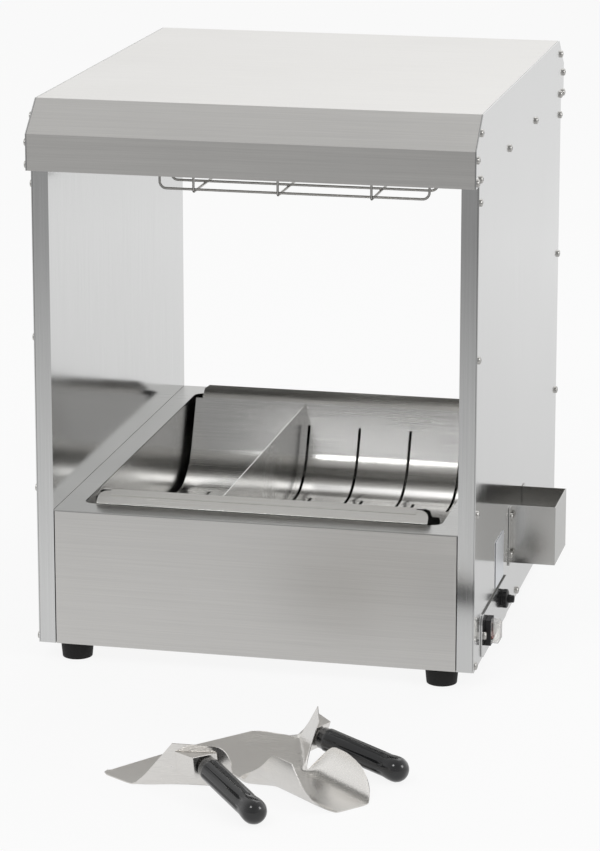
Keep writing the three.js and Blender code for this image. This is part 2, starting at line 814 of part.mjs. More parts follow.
function elementClamp(x) {
  const [top, low] = [linerZ - thinSheet - seat, elementZ - elementRadius - seat];
  const reach = elementY + clampMargin;
  const line = [
    [-reach - clampFlange, top], [-reach, top], [-reach + overrun, low],
    [reach - overrun, low], [reach, top], [reach + clampFlange, top],
  ];
  return prism('x', bent(line, -thinSheet), x - clampWidth / 2, x + clampWidth / 2);
}

addPiece('element_clamp_left', 'bright', elementClamp(-clampPlace));
addPiece('element_clamp_right', 'bright', elementClamp(clampPlace));
addPiece('overheat_cutout', 'ceramic', prism('z', circle(0, 0, cutoutRadius, roundSides),
  linerZ - thinSheet - seat - cutoutHeight, linerZ - thinSheet - seat));

const blockX = halfWidth - blockPlace;
const blockZ = bottomZ + sheet + seat;
const blockTop = blockZ + blockHeight;
const poles = [];
for (let i = 0; i < blockPoles; i += 1) {
  const y = -blockLength / 2 + ((i + 1 / 2) * blockLength) / blockPoles;
  for (const x of [blockX - poleSpacing / 2, blockX + poleSpacing / 2]) {
    poles.push(prism('z', circle(x, y, poleRadius, wireSides), blockTop - poleDepth, blockTop + overrun));
  }
}
addPiece('terminal_block', 'ceramic', cut(
  slab(
    blockX - blockDepth / 2, blockX + blockDepth / 2, -blockLength / 2, blockLength / 2, blockZ, blockTop,
  ),
  ...poles,
));

// A lead through corner points, each rounded with the lead's bend
function lead(points, radius) {
  const path = [points[0]];
  for (let i = 1; i + 1 < points.length; i += 1) {
    path.push(...bendCorner(points[i - 1], points[i], points[i + 1], leadBend, 2));
  }
  return wire([...path, points[points.length - 1]], radius, wireSides);
}

const cavityX = (skinX + sheet + halfWidth) / 2;
const capEnd = tubeEnd + looseFit + capLength;
const leadTurnX = capEnd + capLength;

function heaterLead(side) {
  const [low, high] = [leadLowZ, leadHighZ];
  const start = blockX + leadRadius;
  const startY = side * (blockLength / 2) / blockPoles;
  return lead([
    [start, startY, blockTop + seat], [start, startY, low], [start, side * leadY, low],
    [cavityX, side * leadY, low], [cavityX, side * leadY, high],
    [leadTurnX, side * leadY, high], [leadTurnX, side * leadY, tubeZ],
    [capEnd, side * leadY, tubeZ],
  ], leadRadius);
}

addPiece('heater_lead_front', 'lead', heaterLead(-1));
addPiece('heater_lead_rear', 'lead', heaterLead(1));
addPiece('tube_jumper', 'lead', lead([
  [-capEnd, -tubeY, tubeZ], [-leadTurnX, -tubeY, tubeZ],
  [-leadTurnX, tubeY, tubeZ], [-capEnd, tubeY, tubeZ],
], leadRadius));

function elementLeadWire(side) {
  const x = blockX - poleSpacing / 2;
  const y = (side * blockLength) / 2 - side * 2 * leadRadius;
  return lead([
    [elementEnd + seat, side * elementY, elementZ], [x, side * elementY, elementZ],
    [x, y, elementZ], [x, y, blockTop + seat],
  ], leadRadius);
}

addPiece('element_lead_front', 'lead', elementLeadWire(-1));
addPiece('element_lead_rear', 'lead', elementLeadWire(1));
addPiece('earth_stud', 'brass', toGeometry(toSolid(turned([
  [0, 0], [studNut, 0], [studNut, studNutHeight], [studRadius, studNutHeight],
  [studRadius, studHeight], [0, studHeight],
], wireSides, 'z', [halfWidth - studInset, studOffset, bottomZ + sheet + seat]))));

// Control plate with its switch, splash boot and cable gland

const plateX = outerX + seat;
const plateFace = plateX + plateThickness;
addPiece('control_plate', 'brushed', prism('x', roundedBox(...plateY, ...plateZ, plateCorner),
  plateX, plateFace, [switchOpening(), glandOpening, ...plateOpenings]));
plateScrews.forEach(([y, z], i) => addPiece(
  `control_plate_screw_${['front', 'rear'][i]}`, 'bright',
  screw('x', [plateFace + seat, y, z], screwLength),
));

const bezelX = plateFace + seat;
const bezelFace = bezelX + switchBezel;
const pivotX = bezelFace - pivotDepth;
const rockerTravel = (rockerTilt * Math.PI) / 180;
const pocketHalfHeight = Math.hypot(rockerHeight / 2, bezelFace - pivotX + rockerProud) + seat;

function switchBlock() {
  const [halfY, halfZ] = [switchWidth / 2, switchHeight / 2];
  const margin = bezelMargin;
  const body = slab(bezelX - switchBody, bezelFace, switchY - halfY, switchY + halfY,
    plateMidZ - halfZ, plateMidZ + halfZ);
  const bezel = prism('x', roundedBox(switchY - halfY - margin, switchY + halfY + margin,
    plateMidZ - halfZ - margin, plateMidZ + halfZ + margin, margin), bezelX, bezelFace);
  const pocketY0 = rockerWidth / 2 + rockerGap;
  const pocket = slab(pivotX - rockerDepth - rockerGap, bezelFace + overrun,
    switchY - pocketY0, switchY + pocketY0, plateMidZ - pocketHalfHeight, plateMidZ + pocketHalfHeight);
  const pinReach = pocketY0 + pivotEngagement;
  const pinHole = prism('y', circle(pivotX, plateMidZ, pivotRadius + seat, boreSides), switchY - pinReach,
    switchY + pinReach);
  return cut(join(body, bezel), pocket, pinHole);
}

// The rocker stands tipped to its off side at rest
function rocker() {
  const [front, back] = [bezelFace - pivotX, rockerDepth];
  const half = rockerHeight / 2;
  const outline = [
    [front * rockerDipShare, 0], [front + rockerProud, half],
    [0, half * rockerWaistShare], [-back, half * rockerTailShare], [-back, -half * rockerTailShare],
    [0, -half * rockerWaistShare], [front + rockerProud, -half],
  ].map(([u, v]) => {
    const [c, s] = [Math.cos(rockerTravel), Math.sin(rockerTravel)];
    return [pivotX + u * c - v * s, plateMidZ + u * s + v * c];
  });
  const pinReach = rockerWidth / 2 + rockerGap + pivotEngagement - seat;
  return join(
    prism('y', outline, switchY - rockerWidth / 2, switchY + rockerWidth / 2),
    prism('y', circle(pivotX, plateMidZ, pivotRadius, tubeSides), switchY - pinReach, switchY + pinReach),
  );
}

addPiece('switch_housing', 'plastic', switchBlock());
addPiece('switch_rocker', 'amber', rocker());

// A solid through rings of points, all with the same count, closed by flat ends
function loft(rings) {
  const count = rings[0].length;
  const index = [];
  for (let i = 0; i + 1 < rings.length; i += 1) {
    for (let k = 0; k < count; k += 1) {
      const next = (k + 1) % count;
      const [a, b, c, d] = [i * count + k, i * count + next, (i + 1) * count + next, (i + 1) * count + k];
      index.push(a, b, c, a, c, d);
    }
  }
  const last = (rings.length - 1) * count;
  for (let k = 1; k + 1 < count; k += 1) index.push(0, k + 1, k, last, last + k, last + k + 1);
  const geometry = new THREE.BufferGeometry();
  geometry.setAttribute('position', new THREE.Float32BufferAttribute(rings.flat(2), 3));
  geometry.setIndex(index);
  return geometry;
}

function bootShape(inset, reach, base) {
  const halfY = switchWidth / 2 + bezelMargin - inset;
  const halfZ = switchHeight / 2 + bezelMargin - inset;
  const rings = [[base, 1], [reach * bootShoulderShare, 1], [reach, bootCrownShare]];
  return loft(rings.map(([x, share]) => roundedBox(
    switchY - halfY * share, switchY + halfY * share, plateMidZ - halfZ * share, plateMidZ + halfZ * share,
    bezelMargin * share, bootSteps,
  ).map(([y, z]) => [bezelFace + seat + x, y, z])));
}

addPiece('switch_boot', 'clear', cut(
  bootShape(bootInset, bootProud, 0), bootShape(bootInset + bootWall, bootProud - bootWall, -overrun),
));

const glandBack = skinX - glandTail;
const collarFace = plateFace + seat + glandCollar;
addPiece('cable_gland', 'plastic', toGeometry(toSolid(turned([
  [glandBore, glandBack], [glandThread, glandBack], [glandThread, plateFace + seat],
  [glandRadius, plateFace + seat], [glandRadius, collarFace],
  [glandBore, collarFace], [glandBore, glandBack],
], boreSides, 'x', [0, glandY, glandZ]))));

function glandDome() {
  const base = collarFace + seat;
  const nose = base + glandNut;
  const dome = turned([
    [glandBore, base], [glandRadius, base], [glandRadius, nose - glandShoulder], [glandNose, nose],
    [glandNose - seat, nose + glandNoseLength], [glandBore, nose + glandNoseLength], [glandBore, base],
  ], roundSides, 'x', [0, glandY, glandZ]);
  return toGeometry(toSolid(dome));
}

addPiece('gland_nut', 'plastic', glandDome());
const lockNutBack = skinX - seat - lockNutHeight;
addPiece('gland_locknut', 'plastic', prism('x', circle(glandY, glandZ, lockNutRadius, wireSides),
  lockNutBack, skinX - seat, [glandOpening]));

// Wiring between gland, switch and terminal block
const tailX = glandBack - seat;
const tailTurn = tailX - tailBend;
const blockFrontY = -blockLength / 2 - seat;
const tailZ = (blockZ + blockTop) / 2;
addPiece('supply_tail', 'plastic', lead([
  [tailX, glandY, glandZ], [tailTurn, glandY, glandZ], [tailTurn, blockFrontY - tailRun, tailZ],
  [tailTurn, blockFrontY, tailZ],
], tailRadius));

// Two cores side by side in one flat lead
function switchLead() {
  const x = blockX - poleSpacing / 2;
  const z = plateMidZ - switchLeadDrop;
  const cores = [-coreSpacing / 2, coreSpacing / 2].map((offset) => lead([
    [bezelX - switchBody - seat, switchY + offset, z], [x - offset, switchY + offset, z],
    [x - offset, blockFrontY, z],
  ], coreRadius));
  return join(...cores);
}

addPiece('switch_lead', 'lead', switchLead());

// Rating plate and scoop holder

const ratingY = [ratingFront - halfDepth, ratingFront + ratingLength - halfDepth];
const ratingZ = [bottomZ + ratingBottom, bottomZ + ratingBottom + ratingHeight];
addPiece('rating_plate', 'label', prism('x', roundedBox(...ratingY, ...ratingZ, ratingCorner),
  plateX, plateX + ratingThickness));

const holderFace = plateX + sheet;
const strapLine = [
  [plateX, pocketY[0] - holderFlange], [plateX, pocketY[0]], [plateX + holderProud, pocketY[0]],
  [plateX + holderProud, pocketY[1]], [plateX, pocketY[1]], [plateX, pocketY[1] + holderFlange],
];
const strapScrews = holderScrews.map(([y, z]) => screw('x', [holderFace, y, z], screwLength));
addPiece('scoop_holder', 'polished', join(prism('z', bent(strapLine, -sheet), ...holderZ), ...strapScrews));

// Feet: rubber blocks, each moulded round the screw that holds it

function foot([x, y]) {
  const top = footHeight - seat;
  return toGeometry(toSolid(turned([
    [0, footPocketDepth], [footPocket / 2, footPocketDepth], [footPocket / 2, 0],
    [footRadius - footTaper, 0], [footRadius, top],
    [screwShank, top], [screwShank, top + screwLength], [0, top + screwLength],
  ], roundSides, 'z', [x, y, 0])));
}

const footNames = ['front_left', 'front_right', 'rear_left', 'rear_right'];
footPlaces.forEach((place, i) => addPiece(`foot_${footNames[i]}`, 'rubber', foot(place)));

// Lift-out tray: a curved, slotted trough between two ridged lips

const tray = new THREE.Group();
station.add(tray);
const trayX = trayWidth / 2;
const trayZ = deckZ - trayDrop;
const mouthY = trayMouthDepth / 2;
const mouthZ = deckZ + trayMouthRise;

// The bend from the floor to the wall is as large as the wall leaves room for, and no larger
function troughLine() {
  const [wallRun, wallRise] = [mouthY - trayFloorDepth / 2, mouthZ - trayZ];
  const wholeBend = (wallRun ** 2 + wallRise ** 2) / (2 * wallRise);
  const bend = Math.min(trayBend, trayBendShare * wholeBend);
  const [centreY, centreZ] = [trayFloorDepth / 2, trayZ + bend];
  const [reachY, reachZ] = [mouthY - centreY, mouthZ - centreZ];
  const distance = Math.hypot(reachY, reachZ);
  const last = Math.atan2(reachZ, reachY) - Math.acos(bend / distance);
  const half = [];
  for (let i = 0; i <= trayBendSteps; i += 1) {
    const angle = -Math.PI / 2 + ((last + Math.PI / 2) * i) / trayBendSteps;
    half.push([centreY + bend * Math.cos(angle), centreZ + bend * Math.sin(angle)]);
  }
  half.push([mouthY, mouthZ]);
  return [...half.map(([y, z]) => [-y, z]).reverse(), ...half];
}

const trayLine = troughLine();
const apexY = mouthY + ridgeRun;
const apexZ = mouthZ + ridgeRise;
const lipY = openingY + lipOverlap;
const lipSlope = [lipY - apexY, deckZ - apexZ];
const lipSlopeLength = Math.hypot(...lipSlope);
const lipNormal = [-lipSlope[1] / lipSlopeLength, lipSlope[0] / lipSlopeLength];
const lipDrop = thinSheet + seat;

// The tray's own ridge: its inner slope and the fold over the top, as made at the rear
function rearRidge() {
  const run = Math.hypot(ridgeRun, ridgeRise);
  const [half, chamfer] = [ridgeWidth / 2, ridgeCorner / 2];
  const inner = leaf([
    [-half, 0], [half, 0], [half, run - chamfer], [half - chamfer, run],
    [chamfer - half, run], [-half, run - chamfer],
  ], thinSheet, [mouthY, mouthZ], [ridgeRun, ridgeRise]);
  const fold = leaf([
    [-foldWidth / 2, 0], [foldWidth / 2, 0], [foldWidth / 2, foldLength], [-foldWidth / 2, foldLength],
  ], thinSheet, [apexY, apexZ], lipSlope);
  return join(inner, fold);
}

// The lip under that fold hangs down to the deck, its upper corners round
function rearLip() {
  const [along, out] = [lipSlope.map((value) => value / lipSlopeLength), lipNormal];
  const start = [
    apexY + along[0] * ridgeGap - out[0] * lipDrop, apexZ + along[1] * ridgeGap - out[1] * lipDrop,
  ];
  const length = (start[1] - out[1] * thinSheet - deckZ - seat) / -along[1];
  const half = ridgeWidth / 2;
  const corners = roundedBox(-half, half, 0, 2 * length, ridgeCorner).filter(([, v]) => v <= length);
  return leaf([[half, length], [-half, length], ...corners], thinSheet, start, lipSlope);
}

function slotCutter(x, y0, y1, top) {
  return slab(x - slotWidth / 2, x + slotWidth / 2, y0, y1, trayZ - overrun, top);
}

const slotCutters = [];
for (const i of rearSlots) {
  const x = rearSlotOffset + i * slotPitch;
  const slot = slotCutter(x, trayFloorDepth / 2 - slotFloorReach, mouthY, mouthZ - slotDrop);
  slotCutters.push(slot, mirrored(slot, 'y'));
}
for (const i of floorSlots) {
  const x = floorSlotOffset + i * slotPitch;
  const slot = slotCutter(x, trayFloorDepth / 2 - floorSlotLength, trayFloorDepth / 2, trayZ + overrun);
  slotCutters.push(slot, mirrored(slot, 'y'));
}

addPiece('tray_trough', 'polished', cut(
  join(prism('x', bent(trayLine, -thinSheet), -trayX, trayX), rearRidge(), mirrored(rearRidge(), 'y')),
  ...slotCutters,
), tray);
addPiece('tray_rear_lip', 'polished', rearLip(), tray);
addPiece('tray_front_lip', 'polished', mirrored(rearLip(), 'y'), tray);

const dividerLine = parallel(trayLine, seat);
const dividerFootTop = trayZ + seat + thinSheet;
addPiece('tray_divider', 'polished', join(
  prism('x', dividerLine, dividerOffset - sheet / 2, dividerOffset + sheet / 2),
  slab(dividerOffset, dividerOffset + dividerFoot, -dividerFootDepth / 2, dividerFootDepth / 2,
    trayZ + seat, dividerFootTop),
), tray);

// Loose fry scoops: a bent sheet with a flat mouth, a high wall on the grip's side and a rolled outlet

function valueAt(table, place) {
  const next = Math.max(table.findIndex(([start]) => start >= place), 1);
  const [[a, from], [b, to]] = [table[next - 1], table[next]];
  return from + ((to - from) * (place - a)) / (b - a);
}

function wallTurn(plan) {
  return (plan.wallTurn * Math.PI) / 180;
}

function rolled(plan, place, flat, round) {
  return valueAt([[0, flat], [plan.roll[0], flat], [plan.roll[1], round], [scoopLength, round]], place);
}

// A point of the sheet's outer face, so far up from where its bend leaves the counter
function wallPoint(plan, base, run, place) {
  const turn = rolled(plan, place, wallTurn(plan), Math.PI / 2);
  const radius = rolled(plan, place, wallBend, rollRadius);
  const angle = Math.min(run / radius, turn);
  const rest = run - radius * angle;
  const across = base - radius * Math.tan(turn / 2) + radius * Math.sin(angle) + rest * Math.cos(turn);
  return [across, radius * (1 - Math.cos(angle)) + rest * Math.sin(turn)];
}

function scoopSection(plan, place) {
  const outer = [];
  const walls = [[-1, plan.farBase, plan.farReach], [1, plan.nearBase, plan.nearReach]];
  for (const [side, base, reach] of walls) {
    const half = [];
    for (let i = 0; i <= wallSteps; i += 1) {
      const [v, z] = wallPoint(plan, valueAt(base, place), (valueAt(reach, place) * i) / wallSteps, place);
      half.push([side * v, z]);
    }
    outer.push(...(side < 0 ? half.reverse() : half));
  }
  return outer;
}

// The sheet as one closed shell: outer skin, inner skin and the four edges between them
function scoopBlade(plan) {
  const count = 2 * (wallSteps + 1);
  const positions = [];
  for (const place of plan.stations) {
    const outer = scoopSection(plan, place);
    for (const [v, z] of [...outer, ...parallel(outer, thinSheet)]) positions.push(place, v, z);
  }
  const at = (i, k, inner) => i * 2 * count + k + (inner ? count : 0);
  const index = [];
  const quad = (a, b, c, d) => index.push(a, b, c, a, c, d);
  const last = plan.stations.length - 1;
  for (let i = 0; i < last; i += 1) {
    for (let k = 0; k + 1 < count; k += 1) {
      quad(at(i, k), at(i, k + 1), at(i + 1, k + 1), at(i + 1, k));
      quad(at(i, k, true), at(i + 1, k, true), at(i + 1, k + 1, true), at(i, k + 1, true));
    }
    quad(at(i, 0), at(i + 1, 0), at(i + 1, 0, true), at(i, 0, true));
    quad(at(i, count - 1), at(i, count - 1, true), at(i + 1, count - 1, true), at(i + 1, count - 1));
  }
  for (let k = 0; k + 1 < count; k += 1) {
    quad(at(0, k), at(0, k, true), at(0, k + 1, true), at(0, k + 1));
    quad(at(last, k), at(last, k + 1), at(last, k + 1, true), at(last, k, true));
  }
  const geometry = new THREE.BufferGeometry();
  geometry.setAttribute('position', new THREE.Float32BufferAttribute(positions, 3));
  geometry.setIndex(index);
  return geometry;
}

function wallOuter(plan, place, height) {
  const [radius, base] = [wallBend, valueAt(plan.nearBase, place)];
  const turn = wallTurn(plan);
  const run = radius * turn + (height - radius * (1 - Math.cos(turn))) / Math.sin(turn);
  return wallPoint(plan, base, run, place)[0];
}

// The socket is a wedge on the wall, with a short tang on its free face that meets the grip
function scoopSocket(plan, start, along) {
  const angle = (plan.gripAngle * Math.PI) / 180;
  const wedge = loft(plan.socketHeights.map((height) => {
    const [a, b] = plan.socketPlaces.map(
      (place) => [place, wallOuter(plan, place, height) + looseFit, height],
    );
    const far = [b[0] - plan.socketWidth * Math.sin(angle), b[1] + plan.socketWidth * Math.cos(angle)];
    return [a, b, [...far, height]];
  }));
  const [inner, outer] = [-tangLength, -seat].map(
    (distance) => along.clone().multiplyScalar(distance).add(start),
  );
  return join(wedge, wire([inner.toArray(), outer.toArray()], tangRadius, gripSides));
}

// The grip starts on that face and droops until its ball end touches the counter
function gripLine(plan) {
  const angle = (plan.gripAngle * Math.PI) / 180;
  const height = (plan.socketHeights[0] + plan.socketHeights[1]) / 2;
  const face = plan.socketPlaces[1];
  const across = wallOuter(plan, face, height) + looseFit;
  const droop = Math.asin((height - ballRadius - seat) / gripLength);
  const along = new THREE.Vector3(
    Math.cos(angle) * Math.cos(droop), Math.sin(angle) * Math.cos(droop), -Math.sin(droop),
  );
  const clear = looseFit + gripRadius * Math.sin(droop);
  const start = new THREE.Vector3(
    face - (plan.socketWidth / 2) * Math.sin(angle) + clear * Math.cos(angle),
    across + (plan.socketWidth / 2) * Math.cos(angle) + clear * Math.sin(angle),
    height,
  );
  return [start, along];
}

function scoopGrip(start, along) {
  const profile = [
    [0, 0], [gripRadius - gripFlare, 0], [gripRadius - gripFlare, gripCollar], [gripRadius, gripCollar],
    [gripRadius, gripLength - gripRadius], [ballRadius, gripLength - ballRadius / 2],
  ];
  for (let i = 0; i < gripSteps; i += 1) {
    const angle = (Math.PI / 2) * (i / gripSteps);
    profile.push([ballRadius * Math.cos(angle), gripLength + ballRadius * Math.sin(angle)]);
  }
  profile.push([0, gripLength + ballRadius]);
  const geometry = new THREE.LatheGeometry(profile.map(([r, h]) => new THREE.Vector2(r, h)), gripSides);
  geometry.applyQuaternion(new THREE.Quaternion().setFromUnitVectors(new THREE.Vector3(0, 1, 0), along));
  return geometry.translate(start.x, start.y, start.z);
}

// Each scoop is drawn along x with its grip at +y; the left one is its mirror image
function addScoop(side, plan, place, heading) {
  const [start, along] = gripLine(plan);
  const group = new THREE.Group();
  station.add(group);
  group.position.set(...place, 0);
  group.rotation.z = (heading * Math.PI) / 180;
  const pieces = {
    blade: ['scoop', scoopBlade(plan)],
    socket: ['scoop', scoopSocket(plan, start, along)],
    grip: ['grip', scoopGrip(start, along)],
  };
  for (const [name, [finish, geometry]] of Object.entries(pieces)) {
    const solid = toGeometry(toSolid(geometry));
    addPiece(`scoop_${side}_${name}`, finish, side === 'left' ? mirrored(solid, 'y') : solid, group);
  }
}

addScoop('right', rightScoop, rightScoopPlace, rightScoopHeading);
addScoop('left', leftScoop, leftScoopPlace, leftScoopHeading);

// The origin is the middle of the set at counter height
const extent = new THREE.Box3().setFromObject(station);
station.position.set(-(extent.min.x + extent.max.x) / 2, -(extent.min.y + extent.max.y) / 2, 0);

export default station;
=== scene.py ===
# %% [markdown]
# # A french fry dump station
# The real machine is a box of folded stainless sheet: two hollow side walls carry a canopy with infrared
# tubes, and between them sits a heated well with a lift-out tray. Two fry scoops lie on the counter in
# front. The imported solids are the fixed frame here. This notebook gives each of them its finish, and models
# by hand the pieces whose detail is finer than the solids: feet, screw heads, wires, tubes, grips and the
# gland's nut.

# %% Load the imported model
import math
import json

import bpy
import bmesh
from mathutils import Matrix, Vector

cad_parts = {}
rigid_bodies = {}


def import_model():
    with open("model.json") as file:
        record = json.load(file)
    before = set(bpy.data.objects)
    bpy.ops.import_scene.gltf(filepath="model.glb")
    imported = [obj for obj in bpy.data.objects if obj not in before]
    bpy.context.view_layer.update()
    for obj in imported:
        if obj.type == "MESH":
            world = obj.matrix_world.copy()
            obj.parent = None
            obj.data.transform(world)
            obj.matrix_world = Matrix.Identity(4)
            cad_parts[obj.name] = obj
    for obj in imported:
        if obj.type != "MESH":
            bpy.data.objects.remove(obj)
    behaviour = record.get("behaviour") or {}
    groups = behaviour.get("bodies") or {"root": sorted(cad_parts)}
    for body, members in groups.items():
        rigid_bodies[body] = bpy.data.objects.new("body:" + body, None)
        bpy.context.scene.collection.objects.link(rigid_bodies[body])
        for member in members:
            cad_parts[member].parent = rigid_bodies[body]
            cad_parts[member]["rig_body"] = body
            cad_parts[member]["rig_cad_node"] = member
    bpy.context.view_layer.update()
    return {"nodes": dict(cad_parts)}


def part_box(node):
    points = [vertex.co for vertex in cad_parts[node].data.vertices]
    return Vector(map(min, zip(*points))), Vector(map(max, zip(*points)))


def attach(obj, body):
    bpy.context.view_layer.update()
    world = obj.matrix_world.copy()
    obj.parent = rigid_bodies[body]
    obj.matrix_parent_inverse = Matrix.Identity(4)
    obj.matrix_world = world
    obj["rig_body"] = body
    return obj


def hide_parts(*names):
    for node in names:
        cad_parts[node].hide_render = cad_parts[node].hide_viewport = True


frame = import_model()
nodes = frame["nodes"]
mm = 0.001
deck_low, deck_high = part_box("deck_plate")
cabinet_x = (deck_low.x + deck_high.x) / 2
cabinet_y = (deck_low.y + deck_high.y) / 2
print(len(nodes), "solids, cabinet middle at", round(cabinet_x, 4), round(cabinet_y, 4))

# %% [markdown]
# ## The camera first
# The photograph was taken with a long lens from a little above the canopy and a little to the right, so both
# the top and the right side show. Shift keeps the cabinet high in the upright picture, as it is in the photo.

# %% Camera
camera_right, camera_front, camera_height = 0.8726, 3.9033, 1.2788
tilt_down, turn_left = 0.2307, 0.223
bpy.ops.object.camera_add(
    location=(cabinet_x + camera_right, cabinet_y - camera_front, camera_height),
    rotation=(math.pi / 2 - tilt_down, 0, turn_left),
)
camera = bpy.context.object
camera.name = "photo_camera"
camera.data.sensor_width = 36
camera.data.lens = 146.6
camera.data.shift_y = -0.12
bpy.context.scene.camera = camera
bpy.context.scene.view_settings.view_transform = "Standard"
print("lens", camera.data.lens)

# %% [markdown]
# ## Working by hand in a script
# Operators act on everything that is selected, so each step first holds one piece alone. Faces and vertices
# are picked by their place, which is what a hand would do with a box selection.

# %% Helpers that select
facing = 0.9


def hold(piece):
    bpy.ops.object.select_all(action="DESELECT")
    piece.select_set(True)
    bpy.context.view_layer.objects.active = piece


def pick(piece, kind, wanted):
    """Selects, in edit mode, the vertices wanted by their place, or the faces by their middle and normal."""
    bpy.ops.mesh.select_mode(type=kind)
    bpy.ops.mesh.select_all(action="DESELECT")
    mesh = bmesh.from_edit_mesh(piece.data)
    if kind == "VERT":
        for vertex in mesh.verts:
            vertex.select = bool(wanted(vertex.co))
    else:
        for face in mesh.faces:
            face.select = bool(wanted(face.calc_center_median(), face.normal))
    mesh.select_flush_mode()
    bmesh.update_edit_mesh(piece.data)


def editing(on=True):
    bpy.ops.object.mode_set(mode="EDIT" if on else "OBJECT")


print("a face looks along an axis when its normal has more than", facing, "of it")

# %% [markdown]
# ## Shading, edges and copies
# Real sheet has no perfectly sharp edge, so a small bevel catches the light. A large face between two bends
# has to stay flat to the eye, and weighted normals do that: the big face keeps its own normal, and only the
# narrow bend beside it looks round.

# %% Helpers that shape
def apply_place(piece):
    hold(piece)
    bpy.ops.object.transform_apply(location=True, rotation=True, scale=True)


def smooth(piece, degrees=35):
    hold(piece)
    bpy.ops.object.shade_smooth_by_angle(angle=math.radians(degrees))


def flat_faces(piece):
    hold(piece)
    weight = piece.modifiers.new("weight", "WEIGHTED_NORMAL")
    weight.keep_sharp = True
    weight.weight = 100
    bpy.ops.object.modifier_apply(modifier=weight.name)


def bevel_edges(piece, width, segments=2, degrees=35):
    hold(piece)
    bevel = piece.modifiers.new("bevel", "BEVEL")
    bevel.width = width
    bevel.segments = segments
    bevel.angle_limit = math.radians(degrees)
    bpy.ops.object.modifier_apply(modifier=bevel.name)


def join_pieces(pieces, name):
    bpy.ops.object.select_all(action="DESELECT")
    for piece in pieces:
        piece.select_set(True)
    bpy.context.view_layer.objects.active = pieces[0]
    bpy.ops.object.join()
    pieces[0].name = name
    return pieces[0]


def copy_piece(piece, shift):
    """A copy with its own mesh, moved by shift."""
    hold(piece)
    bpy.ops.object.duplicate()
    copy = bpy.context.object
    bpy.ops.transform.translate(value=shift)
    apply_place(copy)
    return copy


print("helpers that shape are ready")

# %% [markdown]
# ## Fitting a piece
# A finished piece keeps its place in its mesh and rides on the body that carries it. It takes the finish
# that it is given, and the solids that it stands for are hidden.

# %% The helper that fits
def fit(piece, name, material, slot, body, *stands_for):
    piece.name = name
    piece.data.materials.clear()
    piece.data.materials.append(material)
    apply_place(piece)
    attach(piece, body)
    if stands_for:
        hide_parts(*stands_for)
    return piece


# %% [markdown]
# ## Noise for finishes
# Every finish here is drawn by noise in the piece's own coordinates, so it stays put when the piece moves. A
# few small helpers turn that noise into a tone, a roughness or a bump.

# %% Helpers for materials
noise_low, noise_high = 0.3, 0.7


def new_material(name):
    material = bpy.data.materials.new(name)
    material.use_nodes = True
    tree = material.node_tree
    shader = tree.nodes["Principled BSDF"]
    return material, tree, shader


def stretched_noise(tree, scale, detail=3.0, roughness=0.6):
    """Noise in object coordinates, its cells 1/scale metres long on each axis."""
    place = tree.nodes.new("ShaderNodeTexCoord")
    mapping = tree.nodes.new("ShaderNodeMapping")
    mapping.inputs["Scale"].default_value = scale
    noise = tree.nodes.new("ShaderNodeTexNoise")
    noise.inputs["Scale"].default_value = 1.0
    noise.inputs["Detail"].default_value = detail
    noise.inputs["Roughness"].default_value = roughness
    tree.links.new(place.outputs["Object"], mapping.inputs["Vector"])
    tree.links.new(mapping.outputs["Vector"], noise.inputs["Vector"])
    return noise.outputs["Fac"]


def tone_ramp(tree, source, dark, light):
    ramp = tree.nodes.new("ShaderNodeValToRGB")
    ramp.color_ramp.elements[0].position = noise_low
    ramp.color_ramp.elements[1].position = noise_high
    ramp.color_ramp.elements[0].color = (*dark, 1)
    ramp.color_ramp.elements[1].color = (*light, 1)
    tree.links.new(source, ramp.inputs["Fac"])
    return ramp.outputs["Color"]


def value_range(tree, source, low, high, from_low=noise_low, from_high=noise_high):
    change = tree.nodes.new("ShaderNodeMapRange")
    change.inputs["From Min"].default_value = from_low
    change.inputs["From Max"].default_value = from_high
    change.inputs["To Min"].default_value = low
    change.inputs["To Max"].default_value = high
    tree.links.new(source, change.inputs["Value"])
    return change.outputs["Result"]


def add_values(tree, first, second):
    total = tree.nodes.new("ShaderNodeMath")
    total.operation = "ADD"
    tree.links.new(first, total.inputs[0])
    tree.links.new(second, total.inputs[1])
    return total.outputs["Value"]


def bump(tree, shader, height, strength, distance):
    node = tree.nodes.new("ShaderNodeBump")
    node.inputs["Strength"].default_value = strength
    node.inputs["Distance"].default_value = distance
    tree.links.new(height, node.inputs["Height"])
    tree.links.new(node.outputs["Normal"], shader.inputs["Normal"])


print("noise is used from", noise_low, "to", noise_high)

# %% [markdown]
# ## Brushed stainless sheet
# Brushing leaves fine parallel scratches. They are drawn by noise stretched along the grain, which moves the
# colour a little, the roughness more, and lifts a very small bump. A second, cloudy noise stands for the
# handling marks of a used kitchen machine. The grain runs along the length of each sheet as it was cut.

# %% Sheet metal
across_grain, along_grain, cloud_scale = 700.0, 6.0, 7.0
scratch_bump = 0.5


def sheet_metal(name, tone, roughness, grain, spread=0.05, depth=0.00003, contrast=0.05):
    """Stainless sheet; grain is 'x', 'y' or 'z', along which the scratches run."""
    material, tree, shader = new_material(name)
    scale = [across_grain] * 3
    scale["xyz".index(grain)] = along_grain
    scratches = stretched_noise(tree, scale, detail=4.0, roughness=0.7)
    clouds = stretched_noise(tree, [cloud_scale] * 3, roughness=0.5)
    dark = [channel * (1 - contrast) for channel in tone]
    light = [min(channel * (1 + contrast), 1) for channel in tone]
    tree.links.new(tone_ramp(tree, scratches, dark, light), shader.inputs["Base Color"])
    fine = value_range(tree, scratches, roughness - spread / 2, roughness + spread / 2)
    wide = value_range(tree, clouds, -spread / 2, spread / 2)
    tree.links.new(add_values(tree, fine, wide), shader.inputs["Roughness"])
    shader.inputs["Metallic"].default_value = 1.0
    bump(tree, shader, scratches, scratch_bump, depth)
    return material


